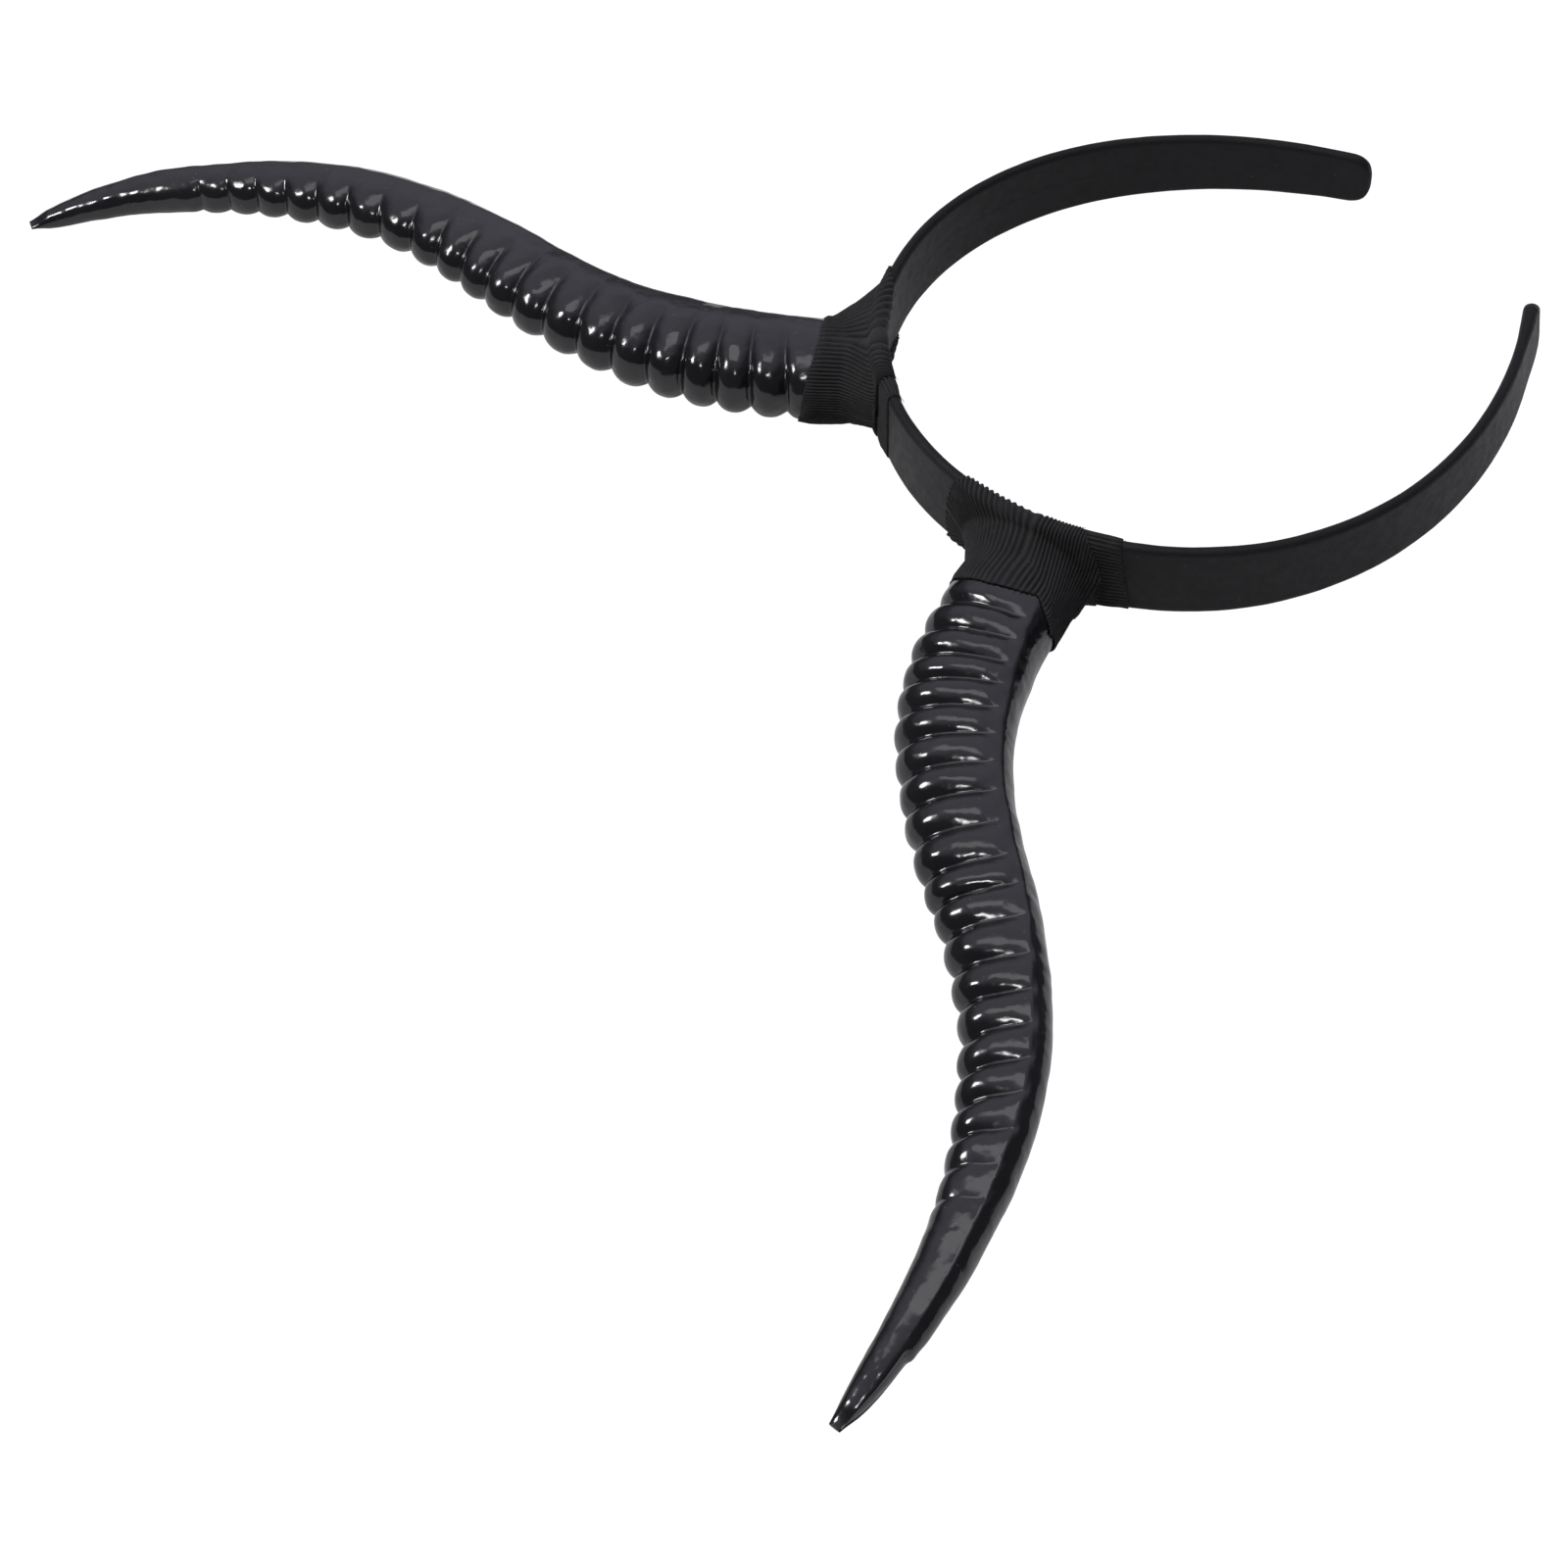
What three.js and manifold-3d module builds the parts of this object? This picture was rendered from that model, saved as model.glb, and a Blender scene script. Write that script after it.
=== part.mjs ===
// Antelope horn headband: a satin-covered spring band, two hollow ridged horns and the
// ribbon wraps that bind them to it, lying on a flat surface. Millimetres and degrees, +Z up.

import * as THREE from "three";
import Module from "manifold-3d";
import { mergeVertices } from "three/addons/utils/BufferGeometryUtils.js";

const wasm = await Module();
wasm.setup();

// Driving dimensions

const CLEARANCE = 0.3;
const FOOT_CLEARANCE = 0.45;
const RIBBON = 1.2;

const BAND = {
  thickness: 2.5,
  crownWidth: 18,
  tipWidth: 11.3,
  taper: 2.5,
  cornerRadius: 4,
  crownFlat: 8,
  stepsPerArm: 22,
  rounding: 0.8,
  crowned: 0.45,
};

// Upper half of the band's section, from its inner to its outer face: distance out as a share of
// the half thickness, and drop below the edge as a share of the edge's rounding
const BAND_SECTION = [
  { place: "inner face", out: -1, drop: 1 },
  { place: "inner rounding", out: -0.3, drop: 0.15 },
  { place: "outer rounding", out: 0.3, drop: 0.15 },
  { place: "shoulder", out: 0.8, drop: 1 },
];

// Rings in a tip's corner, as shares of its radius
const CORNER_STEPS = [0.35, 0.7, 0.94];

// Reach of each arm from the crown to its tip, along the band
const ARMS = { left: 175, right: 182 };

// Half of the band's centre line, from the crown to a tip: a row for each stretch of one bend
const BAND_BENDS = [
  { stretch: "crown and temple", length: 90, radius: 62.5 },
  { stretch: "cheek", length: 30, radius: 71 },
  { stretch: "arm", length: 25, radius: 90 },
  { stretch: "lower arm", length: 20, radius: 108 },
  { stretch: "tip", length: 20, radius: 180 },
];

const HORN = {
  length: 207,
  wall: 1.3,
  drop: 5,
  sides: 14,
  ridges: 20,
  firstRidge: 17.3,
  ridgePitch: 7.46,
  ridgeSteps: [-0.25, 0, 0.25, 0.5],
  footStations: [-3, 5, 11],
  tipSteps: 8,
  hollowStart: -4,
  hollowLength: 186,
  hollowSteps: 16,
  hollowSides: 10,
};

// Grooves between the ridges: share of the depth taken off the upright size, angle of the creases
// where they end, how they fade towards it, how narrow they are, and the share left past the ridges
const GROOVE = { upright: 0.6, creaseAngle: 116, fade: 1.4, narrow: 2.2, plain: 0.5 };

// Sections of a horn, from its seat on the band to its tip: turn away from the head's middle,
// width across the curve, depth, rise above the seat and depth of the grooves between ridges
const HORN_SECTIONS = [
  { along: 0, turn: 0, width: 23, depth: 16.5, rise: 0, groove: 0 },
  { along: 16, turn: 3, width: 24, depth: 17, rise: 1, groove: 1.2 },
  { along: 40, turn: 16, width: 24, depth: 16.5, rise: 2.4, groove: 1.8 },
  { along: 65, turn: 31, width: 21.8, depth: 14.2, rise: 3.4, groove: 1.9 },
  { along: 90, turn: 39, width: 20.4, depth: 12.4, rise: 4, groove: 1.9 },
  { along: 115, turn: 30, width: 17.8, depth: 11.8, rise: 4, groove: 1.7 },
  { along: 140, turn: 15, width: 15.4, depth: 10.8, rise: 3.2, groove: 1.4 },
  { along: 162, turn: 5, width: 11.4, depth: 9.4, rise: 2, groove: 0.8 },
  { along: 185, turn: -5, width: 8.3, depth: 7, rise: 0.2, groove: 0 },
  { along: 200, turn: -11, width: 5.4, depth: 4.6, rise: -1.2, groove: 0 },
  { along: 207, turn: -14, width: 2.8, depth: 2.2, rise: -2, groove: 0 },
];

// Each horn's seat: its place along the band from the crown, what its own shape adds to the turn
// all along, in its middle (bow) and at its tip (curl), and its share of the full length (reach)
const SEATS = [
  { name: "left", side: -1, arc: 33.5, turn: -5.8, bow: 5.7, curl: -5.3, reach: 1 },
  { name: "right", side: 1, arc: 35.5, turn: 0.3, bow: 2.4, curl: 5.3, reach: 0.99 },
];

// Each wrap: the stretch of band that it covers, and its sleeve's reach along the horn and its
// flare along the band, both on the horn's inner and outer side
const WRAPS = {
  left: { from: 10, to: 52, inner: 17, outer: 11, innerFlare: 3, outerFlare: 10 },
  right: { from: 16, to: 54, inner: 14, outer: 20, innerFlare: 2, outerFlare: 7 },
};

const WRAP = {
  sides: 20,
  rings: 7,
  stations: 12,
  root: -6,
  flareReach: 14,
  flareEase: 1.5,
  sagReach: 0.9,
  sagEase: 0.55,
  bandMargin: 6,
  bandStep: 3,
  footStations: [-3, 3, 9, 15, 21, 27],
};

// Plate that shapes whatever sits on the band: its reach behind, up and down, and along the band
const PLATE = { behind: 8, tall: 60, reach: 30, step: 2 };

// Pitch and roll of the lying headband, which rests on both wraps and both horn tips
const LYING = { pitch: 2.83, roll: 0.17 };

const FINISHES = {
  satin: { color: 0x29272c, roughness: 0.7, metalness: 0 },
  gloss: { color: 0x1d1d20, roughness: 0.22, metalness: 0 },
  ribbon: { color: 0x1e1d1f, roughness: 0.9, metalness: 0 },
};

// Curves and tables

function bandPoint(arc) {
  const point = new THREE.Vector2();
  let heading = 0;
  let left = Math.abs(arc);
  for (const { length, radius } of BAND_BENDS) {
    const step = Math.min(left, length);
    const next = heading + step / radius;
    point.x += radius * (Math.sin(next) - Math.sin(heading));
    point.y += radius * (Math.cos(heading) - Math.cos(next));
    heading = next;
    left -= step;
  }
  const side = arc < 0 ? -1 : 1;
  const normal = new THREE.Vector2(side * Math.sin(heading), -Math.cos(heading));
  return { x: side * point.x, y: point.y, normal, heading };
}

const HALF_BAND = BAND_BENDS.reduce((sum, bend) => sum + bend.length, 0);

function bandWidth(arc) {
  const share = Math.abs(arc) / HALF_BAND;
  return BAND.crownWidth + (BAND.tipWidth - BAND.crownWidth) * share ** BAND.taper;
}

const hornColumns = {};
const hornAlongs = HORN_SECTIONS.map((row) => row.along);
for (const column of ["turn", "width", "depth", "rise", "groove"]) {
  const values = HORN_SECTIONS.map((row) => row[column]);
  hornColumns[column] = new THREE.CubicInterpolant(hornAlongs, values, 1);
}

function hornSize(column, along) {
  const inside = THREE.MathUtils.clamp(along, 0, HORN.length);
  return hornColumns[column].evaluate(inside)[0];
}

// Turn of a horn's centre line away from its seat's normal, in degrees
function hornTurn(seat, along) {
  const share = THREE.MathUtils.clamp(along / HORN.length, 0, 1);
  const own = seat.turn + seat.bow * Math.sin(Math.PI * share) + seat.curl * share ** 3;
  return hornSize("turn", along) + own;
}

// Centre and inner side of a horn at a distance along it, by small straight steps from the seat
function hornFrame(seat, along) {
  const start = bandPoint(seat.arc);
  const steps = Math.max(1, Math.ceil(Math.abs(along)));
  const step = along / steps;
  const centre = new THREE.Vector3(start.x, start.y, hornSize("rise", along) - HORN.drop);
  let heading = 0;
  for (let i = 0; i < steps; i++) {
    const turn = hornTurn(seat, (i + 0.5) * step);
    heading = start.heading - Math.PI / 2 + THREE.MathUtils.degToRad(turn);
    centre.x += seat.reach * step * Math.cos(heading);
    centre.y += seat.reach * step * Math.sin(heading);
  }
  return { centre, inner: new THREE.Vector2(Math.sin(heading), -Math.cos(heading)) };
}

// Point beside a horn's centre line: some way to its inner side and some way up
function hornOffset(seat, along, inward, up) {
  const { centre, inner } = hornFrame(seat, along);
  return centre.add(new THREE.Vector3(inner.x * inward, inner.y * inward, up));
}

// Solids

// Closed loft through rings of equally many points, with both ends capped and its faces out
function loft(rings) {
  const count = rings[0].length;
  const points = rings.flat();
  const index = [];
  for (let i = 0; i + 1 < rings.length; i++) {
    for (let j = 0; j < count; j++) {
      const a = i * count + j;
      const b = i * count + ((j + 1) % count);
      index.push(a, b, a + count, b, b + count, a + count);
    }
  }
  for (const [ring, first] of [[rings[0], 0], [rings.at(-1), (rings.length - 1) * count]]) {
    const middle = new THREE.Vector3();
    ring.forEach((point) => middle.addScaledVector(point, 1 / count));
    points.push(middle);
    for (let j = 0; j < count; j++) {
      const edge = [first + j, first + ((j + 1) % count)];
      index.push(...(first === 0 ? edge.reverse() : edge), points.length - 1);
    }
  }
  let volume = 0;
  for (let i = 0; i < index.length; i += 3) {
    const [a, b, c] = index.slice(i, i + 3).map((k) => points[k]);
    volume += a.dot(new THREE.Vector3().crossVectors(b, c));
  }
  const geometry = new THREE.BufferGeometry().setFromPoints(points);
  geometry.setIndex(volume > 0 ? index : index.reverse());
  return geometry;
}

function solidOf(geometry) {
  const merged = mergeVertices(geometry, 1e-4);
  const vertProperties = new Float32Array(merged.attributes.position.array);
  const triVerts = new Uint32Array(merged.index.array);
  return new wasm.Manifold(new wasm.Mesh({ numProp: 3, vertProperties, triVerts }));
}

// Mesh of a solid made for the right side, turned over in X where it belongs on the left
function meshOf(name, solid, finish, side = 1) {
  const { vertProperties, triVerts } = solid.getMesh();
  const index = new Uint32Array(side > 0 ? triVerts : triVerts.toReversed());
  const geometry = new THREE.BufferGeometry();
  geometry.setAttribute("position", new THREE.BufferAttribute(new Float32Array(vertProperties), 3));
  geometry.setIndex(new THREE.BufferAttribute(index, 1));
  geometry.scale(side, 1, 1);
  geometry.computeVertexNormals();
  const mesh = new THREE.Mesh(geometry, new THREE.MeshStandardMaterial(FINISHES[finish]));
  mesh.name = name;
  return mesh;
}

// Ring across the band: flat on the inner face, round on the edges, crowned on the outer face
function bandRing(arc, { grow = 0, width = bandWidth(arc), below = 0 } = {}) {
  const { x, y, normal } = bandPoint(arc);
  const half = BAND.thickness / 2 + grow;
  const top = width / 2 + grow;
  const bottom = -top - below;
  const round = half * BAND.rounding;
  const upper = BAND_SECTION.map(({ out, drop }) => [out * half, top - drop * round]);
  const lower = BAND_SECTION.map(({ out, drop }) => [out * half, bottom + drop * round]);
  const outerFace = [[half, top * BAND.crowned], [half, bottom * BAND.crowned]];
  const outline = [...upper, ...outerFace, ...lower.reverse()];
  return outline.map(([out, z]) => new THREE.Vector3(x + normal.x * out, y + normal.y * out, z));
}

// Places of the rings along one arm, from the flat at the crown to the rounded corners of its tip
function armStations(reach) {
  const start = BAND.crownFlat / 2;
  const end = reach - BAND.cornerRadius;
  const stations = [];
  for (let i = 0; i <= BAND.stepsPerArm; i++) {
    stations.push(start + ((end - start) * i) / BAND.stepsPerArm);
  }
  for (const share of CORNER_STEPS) {
    stations.push(end + share * BAND.cornerRadius);
  }
  return stations;
}

function headband() {
  const left = armStations(ARMS.left).map((arc) => -arc);
  const right = armStations(ARMS.right);
  const rings = [...left.reverse(), ...right].map((arc) => {
    const reach = arc < 0 ? ARMS.left : ARMS.right;
    const inset = Math.max(0, BAND.cornerRadius - (reach - Math.abs(arc)));
    const corner = BAND.cornerRadius - Math.sqrt(BAND.cornerRadius ** 2 - inset ** 2);
    return bandRing(arc, { width: bandWidth(arc) - 2 * corner });
  });
  return solidOf(loft(rings));
}

// Plate that fills the band's inner side up to a distance past its outer face, for fitting to it
function seatPlate(seat, past) {
  const front = BAND.thickness / 2 + past;
  const top = PLATE.tall / 2;
  const corners = [[-PLATE.behind, -top], [-PLATE.behind, top], [front, top], [front, -top]];
  const rings = [];
  for (let arc = seat.arc - PLATE.reach; arc <= seat.arc + PLATE.reach; arc += PLATE.step) {
    const { x, y, normal } = bandPoint(arc);
    const place = ([out, z]) => new THREE.Vector3(x + normal.x * out, y + normal.y * out, z);
    rings.push(corners.map(place));
  }
  return solidOf(loft(rings));
}

// Share of a groove's depth round the horn: full on the inner side, gone at the creases behind
function grooveShare(angle) {
  const share = 1 - Math.min(1, Math.abs(angle) / THREE.MathUtils.degToRad(GROOVE.creaseAngle));
  return share ** GROOVE.fade;
}

// Depth of the groove at a distance along the horn: round ridges with narrow valleys between
function grooveDepth(along) {
  const phase = (along - HORN.firstRidge) / HORN.ridgePitch;
  if (phase < -0.5 || phase > HORN.ridges - 0.5) {
    return hornSize("groove", along) * GROOVE.plain;
  }
  const offset = Math.abs(phase - Math.round(phase)) * 2;
  return hornSize("groove", along) * offset ** GROOVE.narrow;
}

function hornRing(seat, along, { grow = 0, sides = HORN.sides, ridged = true } = {}) {
  const across = hornSize("width", along) / 2 + grow;
  const upright = hornSize("depth", along) / 2 + grow;
  const groove = ridged ? grooveDepth(along) : 0;
  const ring = [];
  for (let i = 0; i < sides; i++) {
    const angle = (2 * Math.PI * i) / sides - Math.PI;
    const cut = groove * grooveShare(angle);
    const height = (upright - cut * GROOVE.upright) * Math.sin(angle);
    ring.push(hornOffset(seat, along, (across - cut) * Math.cos(angle), height));
  }
  return ring;
}

function hornStations() {
  const stations = [...HORN.footStations];
  for (let ridge = 0; ridge < HORN.ridges; ridge++) {
    for (const step of HORN.ridgeSteps) {
      stations.push(HORN.firstRidge + (ridge + step) * HORN.ridgePitch);
    }
  }
  const last = stations.at(-1);
  for (let i = 1; i <= HORN.tipSteps; i++) {
    stations.push(last + ((HORN.length - last) * i) / HORN.tipSteps);
  }
  return stations;
}

// Room inside a horn: clear of the groove bottoms by the wall, open at the seat
function hornHollow(seat) {
  const rings = [];
  const uprightShare = GROOVE.upright * grooveShare(Math.PI / 2);
  for (let i = 0; i <= HORN.hollowSteps; i++) {
    const along = THREE.MathUtils.lerp(HORN.hollowStart, HORN.hollowLength, i / HORN.hollowSteps);
    const groove = hornSize("groove", along);
    const across = hornSize("width", along) / 2 - HORN.wall - groove / 2;
    const upright = hornSize("depth", along) / 2 - HORN.wall - groove * uprightShare;
    const ring = [];
    for (let j = 0; j < HORN.hollowSides; j++) {
      const angle = (2 * Math.PI * j) / HORN.hollowSides;
      const inward = across * Math.cos(angle) - groove / 2;
      ring.push(hornOffset(seat, along, inward, upright * Math.sin(angle)));
    }
    rings.push(ring);
  }
  return solidOf(loft(rings));
}

function horn(seat) {
  const skin = solidOf(loft(hornStations().map((along) => hornRing(seat, along))));
  return skin.subtract(hornHollow(seat)).subtract(seatPlate(seat, CLEARANCE));
}

// Ribbon bound round the band, reaching down under the horn's lower side at the seat
function wrapSaddle(seat, { from, to }) {
  const rings = [];
  const lowest = HORN.drop + hornSize("depth", 0) / 2 - bandWidth(seat.arc) / 2;
  const reach = Math.max(seat.arc - from, to - seat.arc);
  for (let i = 0; i <= WRAP.stations; i++) {
    const arc = from + ((to - from) * i) / WRAP.stations;
    const share = Math.max(0, 1 - Math.abs(arc - seat.arc) / (WRAP.sagReach * reach));
    const below = lowest * THREE.MathUtils.smoothstep(share, 0, WRAP.sagEase);
    rings.push(bandRing(arc, { grow: CLEARANCE + RIBBON, below }));
  }
  return solidOf(loft(rings));
}

// Ribbon sleeve round the horn's foot, flared where it runs onto the band
function wrapSleeve(seat, { inner, outer, innerFlare, outerFlare }) {
  const grow = CLEARANCE + RIBBON;
  const rings = [];
  for (let i = 0; i <= WRAP.rings; i++) {
    const ring = [];
    for (let j = 0; j < WRAP.sides; j++) {
      const angle = (2 * Math.PI * j) / WRAP.sides;
      const inward = (1 + Math.cos(angle)) / 2;
      const end = THREE.MathUtils.lerp(outer, inner, inward);
      const along = THREE.MathUtils.lerp(WRAP.root, end, i / WRAP.rings);
      const flare = THREE.MathUtils.clamp(1 - along / WRAP.flareReach, 0, 1);
      const spread = flare ** WRAP.flareEase * THREE.MathUtils.lerp(outerFlare, innerFlare, inward);
      const upright = hornSize("depth", along) / 2 + grow;
      const top = THREE.MathUtils.lerp(upright, bandWidth(seat.arc) / 2 + HORN.drop, flare);
      const across = hornSize("width", along) / 2 + grow + spread;
      const height = (Math.sin(angle) > 0 ? top : upright) * Math.sin(angle);
      ring.push(hornOffset(seat, along, across * Math.cos(angle), height));
    }
    rings.push(ring);
  }
  return solidOf(loft(rings)).subtract(seatPlate(seat, -BAND.thickness / 2));
}

function wrap(seat) {
  const sizes = WRAPS[seat.name];
  const bandRoom = [];
  const { bandMargin, bandStep, footStations } = WRAP;
  for (let arc = sizes.from - bandMargin; arc <= sizes.to + bandMargin; arc += bandStep) {
    bandRoom.push(bandRing(arc, { grow: CLEARANCE }));
  }
  const around = { grow: FOOT_CLEARANCE, sides: WRAP.sides, ridged: false };
  const footRoom = footStations.map((along) => hornRing(seat, along, around));
  const foot = solidOf(loft(footRoom)).subtract(seatPlate(seat, 0));
  const ribbon = wrapSaddle(seat, sizes).add(wrapSleeve(seat, sizes));
  return ribbon.subtract(solidOf(loft(bandRoom))).subtract(foot);
}

// The lying headband, with the middle of its box's base at the origin

const lying = new THREE.Group();
lying.rotation.set(THREE.MathUtils.degToRad(LYING.pitch), THREE.MathUtils.degToRad(LYING.roll), 0);
lying.add(meshOf("headband", headband(), "satin"));
for (const seat of SEATS) {
  lying.add(meshOf(`horn_${seat.name}`, horn(seat), "gloss", seat.side));
  lying.add(meshOf(`wrap_${seat.name}`, wrap(seat), "ribbon", seat.side));
}

const object = new THREE.Group();
object.add(lying);
object.updateMatrixWorld(true);
const box = new THREE.Box3().setFromObject(object, true);
lying.position.set(-(box.min.x + box.max.x) / 2, -(box.min.y + box.max.y) / 2, -box.min.z);

export default object;
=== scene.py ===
"""Looks of a lying headband with antelope horns: satin band, ridged glossy horns, ribbed ribbon wraps.

Shapes are worked out in millimetres in the band's own frame: the crown is at the origin, +Y runs from
the crown to the open ends, X goes across the head and Z across the band's width. Horns and wraps are
worked out for the right side and turned over in X for the left one. Lying brings points to the row
frame in metres.
"""

import logging
import math
from dataclasses import dataclass, field
from enum import Enum

import bpy
import numpy as np
from mathutils import Matrix, Vector


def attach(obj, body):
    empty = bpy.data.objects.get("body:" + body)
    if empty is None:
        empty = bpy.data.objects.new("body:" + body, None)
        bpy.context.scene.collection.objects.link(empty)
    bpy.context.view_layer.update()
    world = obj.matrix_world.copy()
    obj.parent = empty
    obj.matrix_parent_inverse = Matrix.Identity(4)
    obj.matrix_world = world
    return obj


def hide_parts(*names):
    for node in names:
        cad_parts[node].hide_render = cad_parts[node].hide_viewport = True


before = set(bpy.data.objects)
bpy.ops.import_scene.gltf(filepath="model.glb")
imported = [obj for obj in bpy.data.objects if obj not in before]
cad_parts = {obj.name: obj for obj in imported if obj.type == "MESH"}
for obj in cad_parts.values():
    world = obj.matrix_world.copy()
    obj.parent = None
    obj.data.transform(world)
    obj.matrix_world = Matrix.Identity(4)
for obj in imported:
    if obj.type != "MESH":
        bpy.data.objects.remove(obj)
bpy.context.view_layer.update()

LOG = logging.getLogger("horn_headband")
MM = 0.001
BODY = "root"

Colour = tuple[float, float, float]


class Side(Enum):
    """Side of the head that a horn is on, with its sign in X."""

    LEFT = -1
    RIGHT = 1

    @property
    def label(self) -> str:
        """Lower-case word for the names of pieces."""
        return self.name.lower()


class Slot(Enum):
    """Material slots of the record."""

    BAND = "band_satin"
    HORN = "horn_plastic"
    WRAP = "wrap_ribbon"


class Attr(Enum):
    """Names of the point attributes that the node trees and the finishes read."""

    PHASE = "ridge_phase"
    DEPTH = "ridge_depth"
    LUMP = "lump_share"
    LEAN = "fibre_lean"
    CLOTH = "cloth_place"


# Curves and grids


def smooth(low: float, high: float, value: np.ndarray) -> np.ndarray:
    """Eased step from 0 at low to 1 at high."""
    share = np.clip((value - low) / (high - low), 0.0, 1.0)
    return share * share * (3.0 - 2.0 * share)


def signed_power(value: np.ndarray, power: np.ndarray | float) -> np.ndarray:
    """Power of a value's size, with the value's sign."""
    return np.sign(value) * np.abs(value) ** power


def table_curve(places: np.ndarray, values: np.ndarray, at: np.ndarray) -> np.ndarray:
    """Smooth curve through a table, whose slope at a row comes from the rows beside it.

    Args:
        places: Rising places of the table's rows.
        values: Values of the rows.
        at: Places to read, kept within the table.

    Returns:
        The values at those places.
    """
    at = np.clip(at, places[0], places[-1])
    last = len(places) - 2
    row = np.clip(np.searchsorted(places, at, side="right") - 1, 0, last)
    before = np.where(row == 0, row + 1, row - 1)
    after = np.where(row == last, row, row + 2)
    start = places[row]
    end = places[row + 1]
    half = (end - start) / 2.0
    early = half / (start - places[before])
    late = half / (places[after] - end)
    t = (at - start) / (end - start)
    t2 = t * t
    t3 = t2 * t
    weight_before = -early * t3 + 2.0 * early * t2 - early * t
    weight_start = (1.0 + early) * t3 - (1.5 + 2.0 * early) * t2 + (early - 0.5) * t + 1.0
    weight_end = -(1.0 + late) * t3 + (1.5 + late) * t2 + 0.5 * t
    weight_after = late * t3 - late * t2
    inside = weight_start * values[row] + weight_end * values[row + 1]
    return weight_before * values[before] + inside + weight_after * values[after]


def grid_quads(rows: int, columns: int, first: int = 0) -> np.ndarray:
    """Four-sided faces of a grid of points whose rows close on themselves.

    Args:
        rows: Rows of the grid.
        columns: Points in a row.
        first: Index of the grid's first point.

    Returns:
        One row of four indices for each face.
    """
    across = np.arange(columns)
    beside = (across + 1) % columns
    row = np.arange(rows - 1)[:, None] * columns + first
    corners = (row + across, row + beside, row + columns + beside, row + columns + across)
    return np.stack(corners, axis=-1).reshape(-1, 4)


def grid_normals(points: np.ndarray) -> np.ndarray:
    """Unit normals of a grid of points, along row direction crossed with column direction.

    Args:
        points: Grid of points, as rows that close on themselves, columns and coordinates.

    Returns:
        A normal for each point.
    """
    wide = np.concatenate((points[:, -1:], points, points[:, :1]), axis=1)
    across = np.gradient(wide, axis=1)[:, 1:-1]
    normal = np.cross(across, np.gradient(points, axis=0))
    return normal / np.linalg.norm(normal, axis=-1, keepdims=True)


@dataclass
class Shell:
    """Points, faces and point attributes of a mesh that is being made."""

    points: np.ndarray
    quads: np.ndarray
    triangles: np.ndarray
    numbers: dict[Attr, np.ndarray] = field(default_factory=dict)

    @staticmethod
    def tube(points: np.ndarray, numbers: dict[Attr, np.ndarray]) -> "Shell":
        """Closed tube through rings of points, with a pole at each end.

        Args:
            points: Grid of points, a ring to a row.
            numbers: Values for each point of the grid.

        Returns:
            The tube's shell.
        """
        rows, columns = points.shape[:2]
        count = rows * columns
        ring = np.arange(columns)
        beside = (ring + 1) % columns
        last = count - columns
        first_fan = np.stack((beside, ring, ring * 0 + count), axis=-1)
        last_fan = np.stack((ring + last, beside + last, ring * 0 + count + 1), axis=-1)
        poles = points[[0, -1]].mean(axis=1)
        spread = {}
        for name, value in numbers.items():
            ends = value[[0, -1]].mean(axis=1)
            spread[name] = np.concatenate((value.reshape(count, *value.shape[2:]), ends))
        return Shell(
            np.concatenate((points.reshape(-1, 3), poles)),
            grid_quads(rows, columns),
            np.concatenate((first_fan, last_fan)),
            spread,
        )

    @staticmethod
    def wall(points: np.ndarray, thick: np.ndarray, numbers: dict[Attr, np.ndarray]) -> "Shell":
        """Closed wall under a grid of points, with rims round its open edges.

        Args:
            points: Grid of points of the outer face, whose rows close on themselves.
            thick: Thickness of the wall at each point, against the grid's normals.
            numbers: Values for each point of the outer face. Depths are left off the inner face.

        Returns:
            The wall's shell.
        """
        rows, columns = points.shape[:2]
        count = rows * columns
        inner = points - grid_normals(points) * thick
        faces = [grid_quads(rows, columns), grid_quads(rows, columns, count)[:, ::-1]]
        ring = np.append(np.arange(columns), 0)
        for loop in (ring, ring[::-1] + count - columns):
            behind = loop[:-1]
            ahead = loop[1:]
            faces.append(np.stack((ahead, behind, behind + count, ahead + count), axis=-1))
        spread = {}
        for name, value in numbers.items():
            flat = value.reshape(count, *value.shape[2:])
            spread[name] = np.concatenate((flat, flat * 0.0 if name is Attr.DEPTH else flat))
        both = np.concatenate((points.reshape(-1, 3), inner.reshape(-1, 3)))
        return Shell(both, np.concatenate(faces), np.empty((0, 3), dtype=int), spread)

    @staticmethod
    def joined(shells: list["Shell"]) -> "Shell":
        """Joins several shells.

        Args:
            shells: Shells with the same attributes.

        Returns:
            One shell of them all.
        """
        starts = np.cumsum([0] + [len(shell.points) for shell in shells])
        names = shells[0].numbers
        return Shell(
            np.concatenate([shell.points for shell in shells]),
            np.concatenate([shell.quads + start for shell, start in zip(shells, starts)]),
            np.concatenate([shell.triangles + start for shell, start in zip(shells, starts)]),
            {name: np.concatenate([shell.numbers[name] for shell in shells]) for name in names},
        )

    def outward(self) -> "Shell":
        """Turns the shell's faces out.

        Returns:
            The same shell.
        """
        halves = (self.quads[:, :3], self.quads[:, [0, 2, 3]], self.triangles)
        corners = self.points[np.concatenate(halves)]
        volume = np.sum(corners[:, 0] * np.cross(corners[:, 1], corners[:, 2]))
        if volume < 0.0:
            self.quads = self.quads[:, ::-1]
            self.triangles = self.triangles[:, ::-1]
        return self


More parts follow.
